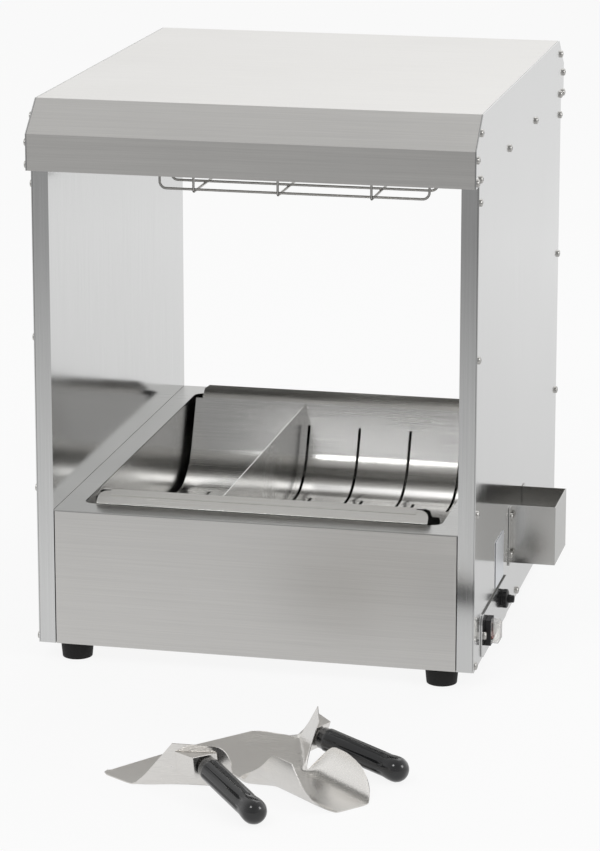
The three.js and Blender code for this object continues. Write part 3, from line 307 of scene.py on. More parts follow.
steel_across = sheet_metal("brushed_across", (0.69, 0.68, 0.662), 0.34, "x")
steel_canopy = sheet_metal("brushed_canopy", (0.735, 0.725, 0.705), 0.34, "x")
steel_upright = sheet_metal("brushed_upright", (0.70, 0.703, 0.70), 0.13, "z", depth=0.000012)
steel_tray = sheet_metal("polished_tray", (0.75, 0.745, 0.73), 0.22, "x", spread=0.1)
steel_deck = sheet_metal("brushed_deck", (0.47, 0.47, 0.46), 0.3, "x")
lip_painted_highlight = sheet_metal("lip_steel_painted_highlight", (0.99, 0.97, 0.93), 0.24, "x")
# The lips' colour is lighter and warmer than the other steel: a painted highlight of the heat tubes and a
# painted reflection of the fries.
steel_strap = sheet_metal("polished_strap", (0.52, 0.515, 0.50), 0.2, "y")
steel_bright = sheet_metal("bright_steel", (0.56, 0.55, 0.53), 0.28, "x", contrast=0.02)
steel_scoop = sheet_metal("scoop_steel", (0.92, 0.90, 0.87), 0.25, "x", depth=0.000003)
brass = sheet_metal("brass", (0.72, 0.52, 0.25), 0.3, "z")
plate_metal = sheet_metal("bare_plate", (0.84, 0.86, 0.89), 0.42, "z", contrast=0.03)
print("materials so far", len(bpy.data.materials))

# %% [markdown]
# ## Plastics, rubber and ceramic
# Moulded plastic is never one flat black: a fine spark-eroded texture breaks its gloss. The grips are the
# glossiest and get a clear coat, and the rubber feet are duller.

# %% Moulded materials
mark_scale = 40.0
mark_dark, mark_light = 0.8, 1.25
grain_gloss, grain_bump = 0.06, 0.4


def moulded(name, tone, roughness, scale=900.0, depth=0.00004, coat=0.0):
    material, tree, shader = new_material(name)
    grain = stretched_noise(tree, [scale] * 3, detail=2.0)
    marks = stretched_noise(tree, [mark_scale] * 3, detail=4.0)
    dark = [channel * mark_dark for channel in tone]
    light = [channel * mark_light for channel in tone]
    tree.links.new(tone_ramp(tree, marks, dark, light), shader.inputs["Base Color"])
    gloss = value_range(tree, grain, roughness - grain_gloss, roughness + grain_gloss)
    tree.links.new(gloss, shader.inputs["Roughness"])
    shader.inputs["Coat Weight"].default_value = coat
    shader.inputs["Specular IOR Level"].default_value = 0.3
    shader.inputs["Coat IOR"].default_value = 1.5
    shader.inputs["Coat Roughness"].default_value = 0.07
    bump(tree, shader, grain, grain_bump, depth)
    return material


black_rubber = moulded("black_rubber", (0.011, 0.0105, 0.0105), 0.62, scale=500.0, depth=0.0001)
black_plastic = moulded("black_plastic", (0.016, 0.016, 0.017), 0.38)
grip_plastic = moulded(
    "grip_plastic", (0.009, 0.0095, 0.0105), 0.2, scale=1200.0, depth=0.00001, coat=1.0
)
rocker_plastic = moulded("rocker_plastic", (0.16, 0.018, 0.01), 0.25, coat=0.3)
ceramic = moulded("ceramic", (0.78, 0.75, 0.68), 0.6, scale=700.0, depth=0.00008)
sleeve = moulded("glass_sleeve", (0.70, 0.67, 0.60), 0.8, scale=1500.0, depth=0.0003)
print("materials so far", len(bpy.data.materials))

# %% [markdown]
# ## Clear plastic and quartz
# The quartz tubes are frosted glass. The splash boot over the switch is soft clear plastic, slightly yellow.

# %% Clear materials
haze_scale = 260.0
haze_dark, haze_gloss = 0.92, 0.04


def clear_material(name, tone, roughness, transmission, alpha=1.0):
    material, tree, shader = new_material(name)
    haze = stretched_noise(tree, [haze_scale] * 3)
    dark = [channel * haze_dark for channel in tone]
    tree.links.new(tone_ramp(tree, haze, dark, tone), shader.inputs["Base Color"])
    gloss = value_range(tree, haze, roughness - haze_gloss, roughness + haze_gloss)
    tree.links.new(gloss, shader.inputs["Roughness"])
    shader.inputs["Transmission Weight"].default_value = transmission
    shader.inputs["Alpha"].default_value = alpha
    shader.inputs["IOR"].default_value = 1.42
    return material


boot_clear = clear_material("boot_clear", (0.95, 0.94, 0.91), 0.08, transmission=0.95, alpha=0.6)
quartz = clear_material("quartz", (0.95, 0.94, 0.92), 0.2, transmission=0.85)
print("materials so far", len(bpy.data.materials))

# %% [markdown]
# ## Sheets that keep their solid
# The flat and folded sheets are already right as solids, so most of them keep their own shape. Their finish
# goes straight into their material slot, chosen by the way the grain of each one runs.

# %% Finish of the carried-over solids
def paint(material, *names):
    for name in names:
        nodes[name].data.materials.clear()
        nodes[name].data.materials.append(material)
    print(material.name, "on", len(names))


paint(steel_across, "canopy_soffit", "bottom_plate", "rear_panel", "front_panel")
paint(steel_deck, "deck_plate")
paint(steel_upright, "side_sheet_left", "side_sheet_right", "side_frame_left", "side_frame_right")
paint(steel_upright, "control_plate")
paint(steel_tray, "well_liner", "heater_reflector")
paint(steel_bright, "tube_holder_left", "tube_holder_right", "element_clamp_left", "element_clamp_right")
paint(steel_bright, "control_plate_screw_front", "control_plate_screw_rear")
paint(ceramic, "overheat_cutout", "terminal_block")
paint(brass, "earth_stud")
paint(plate_metal, "rating_plate")
paint(black_plastic, "switch_housing", "cable_gland", "gland_locknut", "gland_nut", "supply_tail")
paint(sleeve, "heater_lead_front", "heater_lead_rear", "tube_jumper")
paint(sleeve, "element_lead_front", "element_lead_rear", "switch_lead")

# %% [markdown]
# ## Working copies
# A solid arrives as loose triangles with hard facets. Where a bend or an edge should catch the light, a copy
# of the solid is welded, its flat triangles are dissolved back into whole faces, its edges are rounded and
# its bends are shaded smooth. The copy then stands for the solid.

# %% Welded copy with rounded edges
weld_gap = 0.01 * mm
flat_angle = math.radians(1)
quad_angle, quad_skew = math.radians(40), math.radians(60)


def worked_copy(node, material, slot, edge=0.0, degrees=35, quads=False, segments=2):
    original = nodes[node]
    body = original["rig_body"]
    hold(original)
    bpy.ops.object.duplicate()
    piece = bpy.context.object
    bpy.ops.object.parent_clear(type="CLEAR_KEEP_TRANSFORM")
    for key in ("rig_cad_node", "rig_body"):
        del piece[key]
    editing()
    bpy.ops.mesh.select_mode(type="VERT")
    bpy.ops.mesh.select_all(action="SELECT")
    bpy.ops.mesh.remove_doubles(threshold=weld_gap)
    bpy.ops.mesh.customdata_custom_splitnormals_clear()
    if quads:
        bpy.ops.mesh.tris_convert_to_quads(face_threshold=quad_angle, shape_threshold=quad_skew)
    else:
        bpy.ops.mesh.dissolve_limited(angle_limit=flat_angle)
    editing(False)
    if edge:
        bevel_edges(piece, edge, segments, degrees)
    smooth(piece, degrees)
    flat_faces(piece)
    return fit(piece, node + "_worked", material, slot, body, node)


cover = worked_copy("canopy_cover", steel_canopy, "brushed_steel", edge=0.5 * mm, degrees=20)
print("canopy", len(cover.data.polygons), "faces")

# %% [markdown]
# ## Tray, divider, holder and element
# The folds at the tray's front and back, its faces beyond the top of each ridge, take the lips' colour, which
# is
# lighter and warmer than the tray steel: a painted highlight of the heat tubes and a painted reflection of
# the fries.

# %% Tray and its company
ridge_top = 245 * mm
trough = worked_copy("tray_trough", steel_tray, "polished_steel")
# Faces past each ridge take the lip colour with its painted highlight and painted reflection.
trough.data.materials.append(lip_painted_highlight)
for face in trough.data.polygons:
    if abs(face.center.y - cabinet_y) > ridge_top:
        face.material_index = 1
worked_copy("tray_rear_lip", lip_painted_highlight, "polished_steel", edge=0.25 * mm)
worked_copy("tray_front_lip", lip_painted_highlight, "polished_steel", edge=0.25 * mm)
worked_copy("tray_divider", steel_tray, "polished_steel", edge=0.2 * mm)
worked_copy("scoop_holder", steel_strap, "polished_steel", edge=0.3 * mm)
worked_copy("base_element", steel_bright, "bright_steel", degrees=70)
print("trough", len(trough.data.polygons), "faces")

# %% [markdown]
# ## Rubber feet
# Each foot is a moulded rubber block that narrows towards the counter, with its edges rounded and a hollow in
# its sole. A cylinder is tapered, its sole inset and pushed up, and the shank of its screw drawn out of its
# top. One foot is modelled, and the other three are copies.

# %% One foot
foot_names = ["foot_front_left", "foot_front_right", "foot_rear_left", "foot_rear_right"]
foot_low, foot_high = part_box(foot_names[0])
foot_radius = (foot_high.x - foot_low.x) / 2
foot_height = 19.7 * mm
foot_x, foot_y = (foot_low.x + foot_high.x) / 2, (foot_low.y + foot_high.y) / 2
sole_taper, sole_wall, sole_hollow = 0.9, 0.55, 8 * mm
shank_radius = 2 * mm
bpy.ops.mesh.primitive_cylinder_add(
    vertices=48, radius=foot_radius, depth=foot_height, location=(foot_x, foot_y, foot_height / 2)
)
foot = bpy.context.object
apply_place(foot)
editing()
pick(foot, "FACE", lambda middle, normal: normal.z < -facing)
bpy.ops.transform.resize(value=(sole_taper, sole_taper, 1))
bpy.ops.mesh.inset(thickness=foot_radius * sole_wall)
bpy.ops.transform.translate(value=(0, 0, sole_hollow))
pick(foot, "FACE", lambda middle, normal: normal.z > facing and middle.z > foot_height / 2)
bpy.ops.mesh.inset(thickness=foot_radius - shank_radius)
bpy.ops.mesh.extrude_region_move(TRANSFORM_OT_translate={"value": (0, 0, foot_high.z - foot_height)})
editing(False)
bevel_edges(foot, 1.2 * mm, segments=3, degrees=50)
smooth(foot)
print("foot", len(foot.data.polygons), "faces")

# %% [markdown]
# Each of the other feet is moved to the middle of the solid that it stands for.

# %% Four feet
feet = [foot]
for name in foot_names[1:]:
    low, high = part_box(name)
    feet.append(copy_piece(foot, ((low.x + high.x) / 2 - foot_x, (low.y + high.y) / 2 - foot_y, 0)))
for name, piece in zip(foot_names, feet):
    fit(piece, name + "_rubber", black_rubber, "rubber", "station", name)
print("feet", len(feet))

# %% [markdown]
# ## Screw heads
# The side sheets are held by small cross-recessed pan heads that shine against the brushed steel. The solids
# have plain six-sided heads there. One head is modelled from a cylinder, its rim drawn in to a dome and a
# cross cut in its top, and copies of it cap the plain ones.

# %% One pan head, pointing along z
rim_drop = 0.45
dome_rings = [(0.9, 0.22), (0.72, 0.15), (0.45, 0.08)]
cross_length, cross_width, cross_depth = 1.1, 0.24, 0.44


def pan_head(radius, height):
    bpy.ops.mesh.primitive_cylinder_add(
        vertices=24, radius=radius, depth=height, location=(0, 0, height / 2)
    )
    head = bpy.context.object
    apply_place(head)
    editing()
    pick(head, "FACE", lambda middle, normal: normal.z > facing)
    bpy.ops.transform.translate(value=(0, 0, -height * rim_drop))
    for share, rise in dome_rings:
        bpy.ops.mesh.extrude_region_move(TRANSFORM_OT_translate={"value": (0, 0, height * rise)})
        bpy.ops.transform.resize(value=(share, share, 1))
    editing(False)
    bars = []
    for turn in (0, math.pi / 2):
        bpy.ops.mesh.primitive_cube_add(size=1, location=(0, 0, height))
        bar = bpy.context.object
        bar.scale = (radius * cross_length, radius * cross_width, height * cross_depth)
        bar.rotation_euler.z = turn
        apply_place(bar)
        bars.append(bar)
    for bar in bars:
        hold(head)
        slot_cut = head.modifiers.new("cross", "BOOLEAN")
        slot_cut.operation = "DIFFERENCE"
        slot_cut.solver = "EXACT"
        slot_cut.object = bar
        bpy.ops.object.modifier_apply(modifier=slot_cut.name)
        bpy.data.objects.remove(bar)
    smooth(head, degrees=30)
    return head


head_master = pan_head(radius=4.4 * mm, height=3.1 * mm)
print("pan head", len(head_master.data.polygons), "faces")

# %% [markdown]
# Each side sheet has a row of heads under the canopy, a column at its front and back and one head low in the
# middle. Each end flange of the canopy has three heads at its front and three at its back. No two real screws
# stop at the same angle, so each copy is turned a little further than the one before.

# %% Heads on both sides
turn_step = 0.7


def cap_screws(master, places, turn, name, body):
    """Copies of the master head, turned by a matrix, at places in metres, as one piece."""
    heads = []
    for count, place in enumerate(places):
        hold(master)
        bpy.ops.object.duplicate()
        head = bpy.context.object
        spin = Matrix.Rotation(turn_step * count, 4, "Z")
        head.matrix_world = Matrix.Translation(place) @ turn @ spin
        apply_place(head)
        heads.append(head)
    return fit(join_pieces(heads, name), name, steel_bright, "bright_steel", body)


sheet_outer = 251.5 * mm
canopy_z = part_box("canopy_cover")[0].z
head_row, row_reach = canopy_z + 6.5 * mm, 93.5 * mm
head_column, column_heads = 286 * mm, 4
column_foot, column_ends = 26.5 * mm, 45.5 * mm
column_pitch = (canopy_z - column_ends) / (column_heads - 1)
flange_heads = [
    (306.5 * mm, canopy_z + 6 * mm), (306.5 * mm, canopy_z + 31 * mm),
    (284.614 * mm, canopy_z + 56.828 * mm),
]
wall_screws = [(0, column_foot), (-row_reach, head_row), (row_reach, head_row)]
for y in (-head_column, head_column):
    wall_screws.append((y, head_row))
    wall_screws += [(y, column_foot + count * column_pitch) for count in range(column_heads)]
for way in (-1, 1):
    wall_screws += [(way * y, z) for y, z in flange_heads]
to_right = Matrix.Rotation(math.pi / 2, 4, "Y")
to_left = Matrix.Rotation(-math.pi / 2, 4, "Y")
right_places = [Vector((cabinet_x + sheet_outer, cabinet_y + y, z)) for y, z in wall_screws]
left_places = [Vector((cabinet_x - sheet_outer, cabinet_y + y, z)) for y, z in wall_screws]
cap_screws(head_master, right_places, to_right, "side_screws_right", "station")
cap_screws(head_master, left_places, to_left, "side_screws_left", "station")
print("screw heads", len(right_places) + len(left_places))

# %% [markdown]
# The scoop holder and the control plate carry the same heads, a sheet's thickness further out.

# %% Holder and control plate screws
strap_low, strap_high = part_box("scoop_holder")
holder_outer = 253 * mm
foot_middle, end_margin = 7.5 * mm, 12 * mm
holder_places = []
for y in (strap_low.y + foot_middle, strap_high.y - foot_middle):
    for z in (strap_low.z + end_margin, strap_high.z - end_margin):
        holder_places.append(Vector((cabinet_x + holder_outer, y, z)))
cap_screws(head_master, holder_places, to_right, "holder_screws", "station")
seat = 0.3 * mm
plate_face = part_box("control_plate")[1].x + seat
plate_places = []
for name in ("control_plate_screw_front", "control_plate_screw_rear"):
    low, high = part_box(name)
    plate_places.append(Vector((plate_face, (low.y + high.y) / 2, (low.z + high.z) / 2)))
cap_screws(head_master, plate_places, to_right, "plate_screws", "station")
bpy.data.objects.remove(head_master)
print("more screw heads", len(holder_places) + len(plate_places))

# %% [markdown]
# ## The wire guard
# Round wire keeps hands off the hot tubes. Four long wires turn up at their ends, three cross wires are
# welded under them, and a thin rim lies against the soffit. Each wire is drawn as a few points, its corners
# rounded with a vertex bevel, and then turned into a curve with a round section.

# %% A wire drawn as a bevelled line
def drawn_wire(points, radius, corner, name):
    bpy.ops.mesh.primitive_plane_add(size=1, location=(0, 0, 0))
    line = bpy.context.object
    editing()
    bpy.ops.mesh.select_mode(type="VERT")
    bpy.ops.mesh.select_all(action="SELECT")
    bpy.ops.mesh.merge(type="CENTER")
    bpy.ops.transform.translate(value=points[0])
    for before, after in zip(points, points[1:]):
        run = Vector(after) - Vector(before)
        bpy.ops.mesh.extrude_vertices_move(TRANSFORM_OT_translate={"value": run})
    ends = [Vector(points[0]), Vector(points[-1])]
    pick(line, "VERT", lambda place: all((place - end).length > corner / 2 for end in ends))
    bpy.ops.mesh.bevel(offset=corner, offset_type="OFFSET", segments=6, affect="VERTICES")
    editing(False)
    hold(line)
    bpy.ops.object.convert(target="CURVE")
    line = bpy.context.object
    line.data.bevel_depth = radius
    line.data.bevel_resolution = 3
    line.data.use_fill_caps = True
    bpy.ops.object.convert(target="MESH")
    line = bpy.context.object
    line.name = name
    smooth(line, degrees=50)
    return line


wire_radius = 1.5 * mm
print("wire", round(2 * wire_radius / mm, 1), "mm thick")

# %% [markdown]
# The long wires run from side to side, and the cross wires run from front to back a little lower.

# %% Seven wires
long_rows = (-89.5 * mm, -36.5 * mm, 36.5 * mm, 89.5 * mm)
cross_rows = (-118 * mm, -18 * mm, 92 * mm)
long_bend, cross_bend = 8 * mm, 3 * mm
long_reach, cross_reach = 159 * mm, 92.1 * mm
guard_drop, cross_drop = 57.5 * mm, 2.6 * mm
rim_bottom = canopy_z
long_z = rim_bottom - guard_drop
cross_z = long_z - cross_drop
wires = []
left, right = cabinet_x - long_reach, cabinet_x + long_reach
for y in long_rows:
    row = cabinet_y + y
    wires.append(drawn_wire(
        [(left, row, rim_bottom), (left, row, long_z), (right, row, long_z), (right, row, rim_bottom)],
        wire_radius, long_bend, "long_wire",
    ))
front, rear = cabinet_y - cross_reach, cabinet_y + cross_reach
for x in cross_rows:
    row = cabinet_x + x
    wires.append(drawn_wire(
        [(row, front, rim_bottom), (row, front, cross_z), (row, rear, cross_z), (row, rear, rim_bottom)],
        wire_radius, cross_bend, "cross_wire",
    ))
print("wires", len(wires))

# %% [markdown]
# Spot welds leave a small bright bead where two wires cross. They are flattened spheres, and the rim is a
# plane with its middle inset and removed, thickened to the sheet's gauge.

# %% Weld beads and rim of the guard
bead_radius, bead_drop, bead_height = 2.1 * mm, 1.3 * mm, 0.8
rim_length, rim_depth, rim_width, rim_gauge = 329 * mm, 196 * mm, 11 * mm, 1.2 * mm
beads = []
for x in cross_rows:
    for y in long_rows:
        bpy.ops.mesh.primitive_uv_sphere_add(
            segments=12, ring_count=8, radius=bead_radius,
            location=(cabinet_x + x, cabinet_y + y, long_z - bead_drop),
        )
        bead = bpy.context.object
        bead.scale = (1.0, 1.0, bead_height)
        apply_place(bead)
        smooth(bead, degrees=60)
        beads.append(bead)
bpy.ops.mesh.primitive_plane_add(size=1, location=(cabinet_x, cabinet_y, rim_bottom))
rim = bpy.context.object
rim.scale = (rim_length, rim_depth, 1)
apply_place(rim)
editing()
bpy.ops.mesh.select_all(action="SELECT")
bpy.ops.mesh.inset(thickness=rim_width)
bpy.ops.mesh.delete(type="FACE")
editing(False)
gauge = rim.modifiers.new("gauge", "SOLIDIFY")
gauge.thickness = rim_gauge
gauge.offset = 0
hold(rim)
bpy.ops.object.modifier_apply(modifier=gauge.name)
guard = join_pieces(wires + beads + [rim], "guard_wires")
fit(guard, "wire_guard_wires", steel_bright, "bright_steel", "station", "wire_guard")
print("guard", len(guard.data.polygons), "faces")

# %% [markdown]
# ## Infrared tubes
# A tube is a length of frosted quartz with a coiled filament inside and a white ceramic cap at each end. The
# glass is a pipe with a real wall.

# %% Quartz pipes
glass_wall = 1.0 * mm


def glass_pipe(node):
    """Builds the pipe, and gives back the middle and the length of its tube."""
    low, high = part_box(node)
    middle = (low + high) / 2
    bpy.ops.mesh.primitive_cylinder_add(
        vertices=32, radius=(high.z - low.z) / 2, depth=high.x - low.x, end_fill_type="NOTHING",
        location=middle, rotation=(0, math.pi / 2, 0),
    )
    pipe = bpy.context.object
    apply_place(pipe)
    wall = pipe.modifiers.new("wall", "SOLIDIFY")
    wall.thickness = glass_wall
    wall.offset = -1
    bpy.ops.object.modifier_apply(modifier=wall.name)
    smooth(pipe, degrees=50)
    fit(pipe, node + "_glass", quartz, "quartz", "station", node)
    return middle, high.x - low.x


tubes = {row: glass_pipe("infrared_tube_" + row) for row in ("front", "rear")}
print("tube lengths", [round(length, 3) for middle, length in tubes.values()])

# %% [markdown]
# A long coil is simply a round wire that follows a helix, so the filament is drawn as a curve of points. The
# caps are worked copies of their solids.

# %% Filaments and caps
coil_turns, turn_points = 60, 10
coil_share, coil_radius, filament_radius = 0.92, 2.6 * mm, 0.4 * mm
for row, (middle, length) in tubes.items():
    start = Vector((middle.x - length * coil_share / 2, middle.y, middle.z))
    points = []
    for step in range(coil_turns * turn_points + 1):
        angle = 2 * math.pi * step / turn_points
        along = length * coil_share * step / (coil_turns * turn_points)
        points.append(start + Vector((along, coil_radius * math.cos(angle), coil_radius * math.sin(angle))))
    curve = bpy.data.curves.new("filament", "CURVE")
    curve.dimensions = "3D"
    curve.bevel_depth = filament_radius
    curve.bevel_resolution = 0
    curve.use_fill_caps = True
    spline = curve.splines.new("POLY")
    spline.points.add(len(points) - 1)
    for point, place in zip(spline.points, points):
        point.co = (*place, 1)
    coil = bpy.data.objects.new("filament_" + row, curve)
    bpy.context.scene.collection.objects.link(coil)
    hold(coil)
    bpy.ops.object.convert(target="MESH")
    coil = bpy.context.object
    smooth(coil, degrees=60)
    fit(coil, "filament_" + row, brass, "brass", "station")
for row in tubes:
    for side in ("left", "right"):
        worked_copy(f"tube_cap_{row}_{side}", ceramic, "ceramic", edge=0.8 * mm, degrees=50)
print("points on each filament", len(points))

# %% [markdown]
# ## Switch and boot
# The rocker switch stands in a black bezel under a clear splash boot. Their solids have the right shape, so
# worked copies with rounded edges are enough.

# %% Switch and boot
worked_copy("switch_housing", black_plastic, "switch_plastic", edge=0.4 * mm)
worked_copy("switch_rocker", rocker_plastic, "rocker", edge=0.5 * mm)
boot = worked_copy("switch_boot", boot_clear, "boot", edge=0.4 * mm, degrees=30)
print("boot", len(boot.data.polygons), "faces")

# %% [markdown]
# ## The gland's ribbed nut
# The nut starts as a cylinder with many sides. Every other pair of sides is pressed in to leave ribs, the
# front end is drawn in to the nose, and the bore is inset and pushed back.

# %% Gland nut
nut_low, nut_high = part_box("gland_nut")
nut_middle = (nut_low + nut_high) / 2
nut_radius = (nut_high.z - nut_low.z) / 2
nut_sides, rib_pitch, groove_sides = 48, 4, 2
nut_length, groove_margin, groove_share = 3.5 * mm, 0.2 * mm, 0.92
nose_rings = [(0.86, 1.2), (0.47, 0.3), (0.97, 5.8), (0.93, 1.0)]
bore_wall, bore_depth = 1.3 * mm, 8 * mm
bpy.ops.mesh.primitive_cylinder_add(
    vertices=nut_sides, radius=nut_radius, depth=nut_length,
    location=(nut_low.x + nut_length / 2, nut_middle.y, nut_middle.z), rotation=(0, math.pi / 2, 0),
)
nut = bpy.context.object
apply_place(nut)


def groove(middle, normal):
    angle = math.atan2(middle.z - nut_middle.z, middle.y - nut_middle.y) % (2 * math.pi)
    return abs(normal.x) < 1 - facing and int(angle / (2 * math.pi / nut_sides)) % rib_pitch < groove_sides


editing()
pick(nut, "FACE", groove)
bpy.ops.mesh.inset(thickness=groove_margin, use_individual=False)
bpy.ops.transform.resize(value=(1, groove_share, groove_share), center_override=nut_middle)
pick(nut, "FACE", lambda middle, normal: normal.x > facing)
for share, run in nose_rings:
    bpy.ops.mesh.extrude_region_move(TRANSFORM_OT_translate={"value": (run * mm, 0, 0)})
    bpy.ops.transform.resize(value=(1, share, share), center_override=nut_middle)
bpy.ops.mesh.inset(thickness=bore_wall)
bpy.ops.mesh.extrude_region_move(TRANSFORM_OT_translate={"value": (-bore_depth, 0, 0)})
editing(False)
smooth(nut, degrees=40)
fit(nut, "gland_nut_ribbed", black_plastic, "gland_plastic", "station", "gland_nut")
print("gland nut from", round(nut_low.x, 4), "to", round(nut_high.x, 4))

# %% [markdown]
# ## Scoop blades
# Each blade is one sheet of satin stainless steel, flat at its mouth and rolled towards its outlet. The
# welded copy keeps its long quads, so one level of subdivision rounds the roll, with the cut edges creased
# to stay crisp.

# %% Blades and sockets
cut_edge = math.radians(50)


def rolled_blade(node):
    piece = worked_copy(node, steel_scoop, "scoop_steel", quads=True)
    hold(piece)
    editing()
    bpy.ops.mesh.select_mode(type="EDGE")
    bpy.ops.mesh.select_all(action="DESELECT")
    bpy.ops.mesh.edges_select_sharp(sharpness=cut_edge)
    bpy.ops.transform.edge_crease(value=1)
    editing(False)
    rounding = piece.modifiers.new("rounding", "SUBSURF")
    rounding.levels = rounding.render_levels = 1
    bpy.ops.object.modifier_apply(modifier=rounding.name)
    smooth(piece, degrees=40)
    flat_faces(piece)
    return piece


for side in ("left", "right"):
    blade = rolled_blade(f"scoop_{side}_blade")
    socket = f"scoop_{side}_socket"
    worked_copy(socket, steel_scoop, "scoop_steel", edge=0.8 * mm, degrees=30, segments=3)
    print(blade.name, len(blade.data.polygons), "faces")

# %% [markdown]
# ## Ribbed grips
# The grips are moulded black plastic: a plain collar, a shaft with long flutes so that a greasy hand does not
# slip, and a ball end. A disc is drawn out ring by ring with extrude and resize, then the flutes are pressed
# in and the whole grip is laid on its axis.

# %% Grips
grip_sides, flute_pitch, flute_share = 48, 6, 0.85
flute_low, flute_high = 11.9 * mm, 82.5 * mm
grip_rings = [
    (0.0, 10.6), (1.2, 11.5), (7.0, 11.5), (8.0, 12.5), (10.0, 12.5), (12.0, 12.5), (78.0, 12.5),
    (82.0, 12.5), (86.0, 12.6), (91.0, 13.3), (96.0, 13.5), (100.0, 13.0), (104.0, 11.1), (107.0, 8.2),
    (109.0, 4.2),
]


def flute(place):
    column = round(math.atan2(place.y, place.x) / (2 * math.pi / grip_sides)) % flute_pitch
    return column == 0 and flute_low < place.z < flute_high


def ribbed_grip(side, start, along):
    node = f"scoop_{side}_grip"
    bpy.ops.mesh.primitive_circle_add(
        vertices=grip_sides, radius=grip_rings[0][1] * mm, fill_type="NGON"
    )
    grip = bpy.context.object
    editing()
    bpy.ops.mesh.select_all(action="SELECT")
    bpy.ops.mesh.flip_normals()
    bpy.ops.mesh.select_all(action="SELECT")
    for (low, small), (high, large) in zip(grip_rings, grip_rings[1:]):
        bpy.ops.mesh.extrude_region_move(TRANSFORM_OT_translate={"value": (0, 0, (high - low) * mm)})
        bpy.ops.transform.resize(value=(large / small, large / small, 1))
    bpy.ops.mesh.select_all(action="SELECT")
    bpy.ops.mesh.normals_make_consistent(inside=False)
    pick(grip, "VERT", flute)
    bpy.ops.transform.resize(value=(flute_share, flute_share, 1), center_override=(0, 0, 0))
    editing(False)
    grip.rotation_mode = "QUATERNION"
    grip.rotation_quaternion = Vector((0, 0, 1)).rotation_difference(Vector(along))
    grip.location = start
    apply_place(grip)
    smooth(grip, degrees=45)
    return fit(grip, node + "_ribbed", grip_plastic, "grip", "scoop_" + side, node)


left_start = (cabinet_x + 41.899 * mm, cabinet_y - 668.383 * mm, 30 * mm)
left_along = (0.67848, -0.71497, -0.16875)
right_start = (cabinet_x + 136.024 * mm, cabinet_y - 551.754 * mm, 28 * mm)
right_along = (0.90489, -0.39911, -0.14792)
for side, start, along in (("left", left_start, left_along), ("right", right_start, right_along)):
    grip = ribbed_grip(side, start, along)
    print(grip.name, len(grip.data.polygons), "faces")

# %% [markdown]
# ## A pale floor
# Brushed steel is only as lively as the room that it mirrors, so the room is made for it. In a mirror the
# floor is pale behind the machine, dims towards the camera, where a real studio is dark, and is a little
# brighter on the left.

# %% The plane, and the tone that steel sees
bpy.ops.mesh.primitive_plane_add(size=14, location=(0, 0, 0))
floor = bpy.context.object
floor.name = "studio_floor"
floor_material, floor_tree, floor_shader = new_material("studio_floor")
floor_shader.inputs["Base Color"].default_value = (0.88, 0.88, 0.88, 1)
floor_shader.inputs["Roughness"].default_value = 0.9
floor_shader.inputs["Specular IOR Level"].default_value = 0.1
floor_place = floor_tree.nodes.new("ShaderNodeTexCoord")
floor_parts = floor_tree.nodes.new("ShaderNodeSeparateXYZ")
floor_tree.links.new(floor_place.outputs["Object"], floor_parts.inputs["Vector"])
floor_x, floor_y = floor_parts.outputs["X"], floor_parts.outputs["Y"]
near_tone = value_range(floor_tree, floor_y, low=0.34, high=0.92, from_low=-2.4, from_high=-0.3)
far_tone = value_range(floor_tree, floor_y, low=-0.14, high=0.06, from_low=0.5, from_high=2.3)
side_tone = value_range(floor_tree, floor_x, low=0.08, high=-0.10, from_low=-0.7, from_high=0.7)
mirror_tone = add_values(floor_tree, add_values(floor_tree, near_tone, far_tone), side_tone)
print("nodes of the floor so far", len(floor_tree.nodes))

# %% [markdown]
# The light path tells what kind of ray has met the floor. A camera ray, or one through glass, meets white
# with a share of the floor's own shading, which holds the shadow. A glossy ray meets the graded tone.

# %% White to the camera, graded in a mirror
def mixed(tree, share, first, second):
    """A shader mix; share is a number or a socket."""
    mix = tree.nodes.new("ShaderNodeMixShader")
    if isinstance(share, float):
        mix.inputs["Fac"].default_value = share
    else:
        tree.links.new(share, mix.inputs["Fac"])
    tree.links.new(first, mix.inputs[1])
    tree.links.new(second, mix.inputs[2])
    return mix.outputs["Shader"]


def glow(tree, kind, strength):
    """White light of a strength that is a number or a socket."""
    node = tree.nodes.new(kind)
    node.inputs["Color"].default_value = (1, 1, 1, 1)
    if isinstance(strength, float):
        node.inputs["Strength"].default_value = strength
    else:
        tree.links.new(strength, node.inputs["Strength"])
    return node.outputs[0]


white_share, mirror_share = 0.88, 0.8
floor_ray = floor_tree.nodes.new("ShaderNodeLightPath")
floor_own = floor_shader.outputs["BSDF"]
white_glow = glow(floor_tree, "ShaderNodeEmission", 1.0)
mirror_glow = glow(floor_tree, "ShaderNodeEmission", mirror_tone)
floor_white = mixed(floor_tree, white_share, floor_own, white_glow)
floor_mirrored = mixed(floor_tree, mirror_share, floor_own, mirror_glow)
floor_shown = mixed(floor_tree, floor_ray.outputs["Is Glossy Ray"], floor_own, floor_mirrored)
floor_shown = mixed(floor_tree, floor_ray.outputs["Is Transmission Ray"], floor_shown, floor_white)
floor_shown = mixed(floor_tree, floor_ray.outputs["Is Camera Ray"], floor_shown, floor_white)
floor_tree.links.new(floor_shown, floor_tree.nodes["Material Output"].inputs["Surface"])
floor.data.materials.append(floor_material)
print("nodes of the floor", len(floor_tree.nodes))

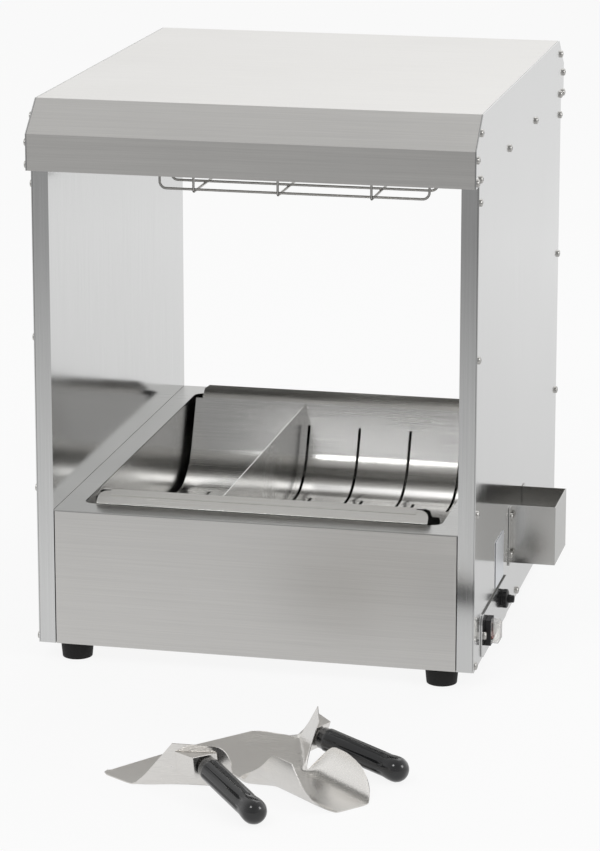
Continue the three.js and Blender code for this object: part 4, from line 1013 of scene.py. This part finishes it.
# %% [markdown]
# ## The room
# The world is white to the camera and through glass. For the steel it is bright behind the machine, dim in
# front and dimmer straight above, and plain grey light falls on everything else.

# %% World
plain_light = 0.62
world = bpy.data.worlds.new("studio")
bpy.context.scene.world = world
world.use_nodes = True
sky = world.node_tree
sky.nodes.clear()
ray = sky.nodes.new("ShaderNodeLightPath")
direction = sky.nodes.new("ShaderNodeTexCoord")
parts = sky.nodes.new("ShaderNodeSeparateXYZ")
sky.links.new(direction.outputs["Generated"], parts.inputs["Vector"])
front_to_back = value_range(sky, parts.outputs["Y"], low=0.42, high=1.0, from_low=-1.0, from_high=0.6)
overhead = value_range(sky, parts.outputs["Z"], low=0.0, high=-0.22, from_low=0.35, from_high=0.95)
sky_mirrored = glow(sky, "ShaderNodeBackground", add_values(sky, front_to_back, overhead))
sky_white = glow(sky, "ShaderNodeBackground", 1.0)
sky_plain = glow(sky, "ShaderNodeBackground", plain_light)
sky_shown = mixed(sky, ray.outputs["Is Glossy Ray"], sky_plain, sky_mirrored)
sky_shown = mixed(sky, ray.outputs["Is Transmission Ray"], sky_shown, sky_white)
sky_shown = mixed(sky, ray.outputs["Is Camera Ray"], sky_shown, sky_white)
output = sky.nodes.new("ShaderNodeOutputWorld")
sky.links.new(sky_shown, output.inputs["Surface"])
print("world nodes", len(sky.nodes))

# %% [markdown]
# ## Three soft boxes
# A broad lamp behind and above, one at the right and a small one in front put long highlights on the grips
# and soft shadows under the feet. They are weak, because most of the light comes from the room.

# %% Lamps
def soft_box(name, place, target, size, power):
    bpy.ops.object.light_add(type="AREA", location=place)
    lamp = bpy.context.object
    lamp.name = name
    lamp.data.size = size
    lamp.data.energy = power
    lamp.rotation_euler = (Vector(target) - Vector(place)).to_track_quat("-Z", "Y").to_euler()


soft_box("lamp_overhead", (0.4, 1.7, 3.0), (0, 0, 0.3), size=2.0, power=14)
soft_box("lamp_right", (2.8, -0.9, 1.6), (0, 0, 0.3), size=1.0, power=14)
soft_box("lamp_front", (-0.9, -2.6, 2.9), (0, 0, 0.2), size=0.8, power=14)
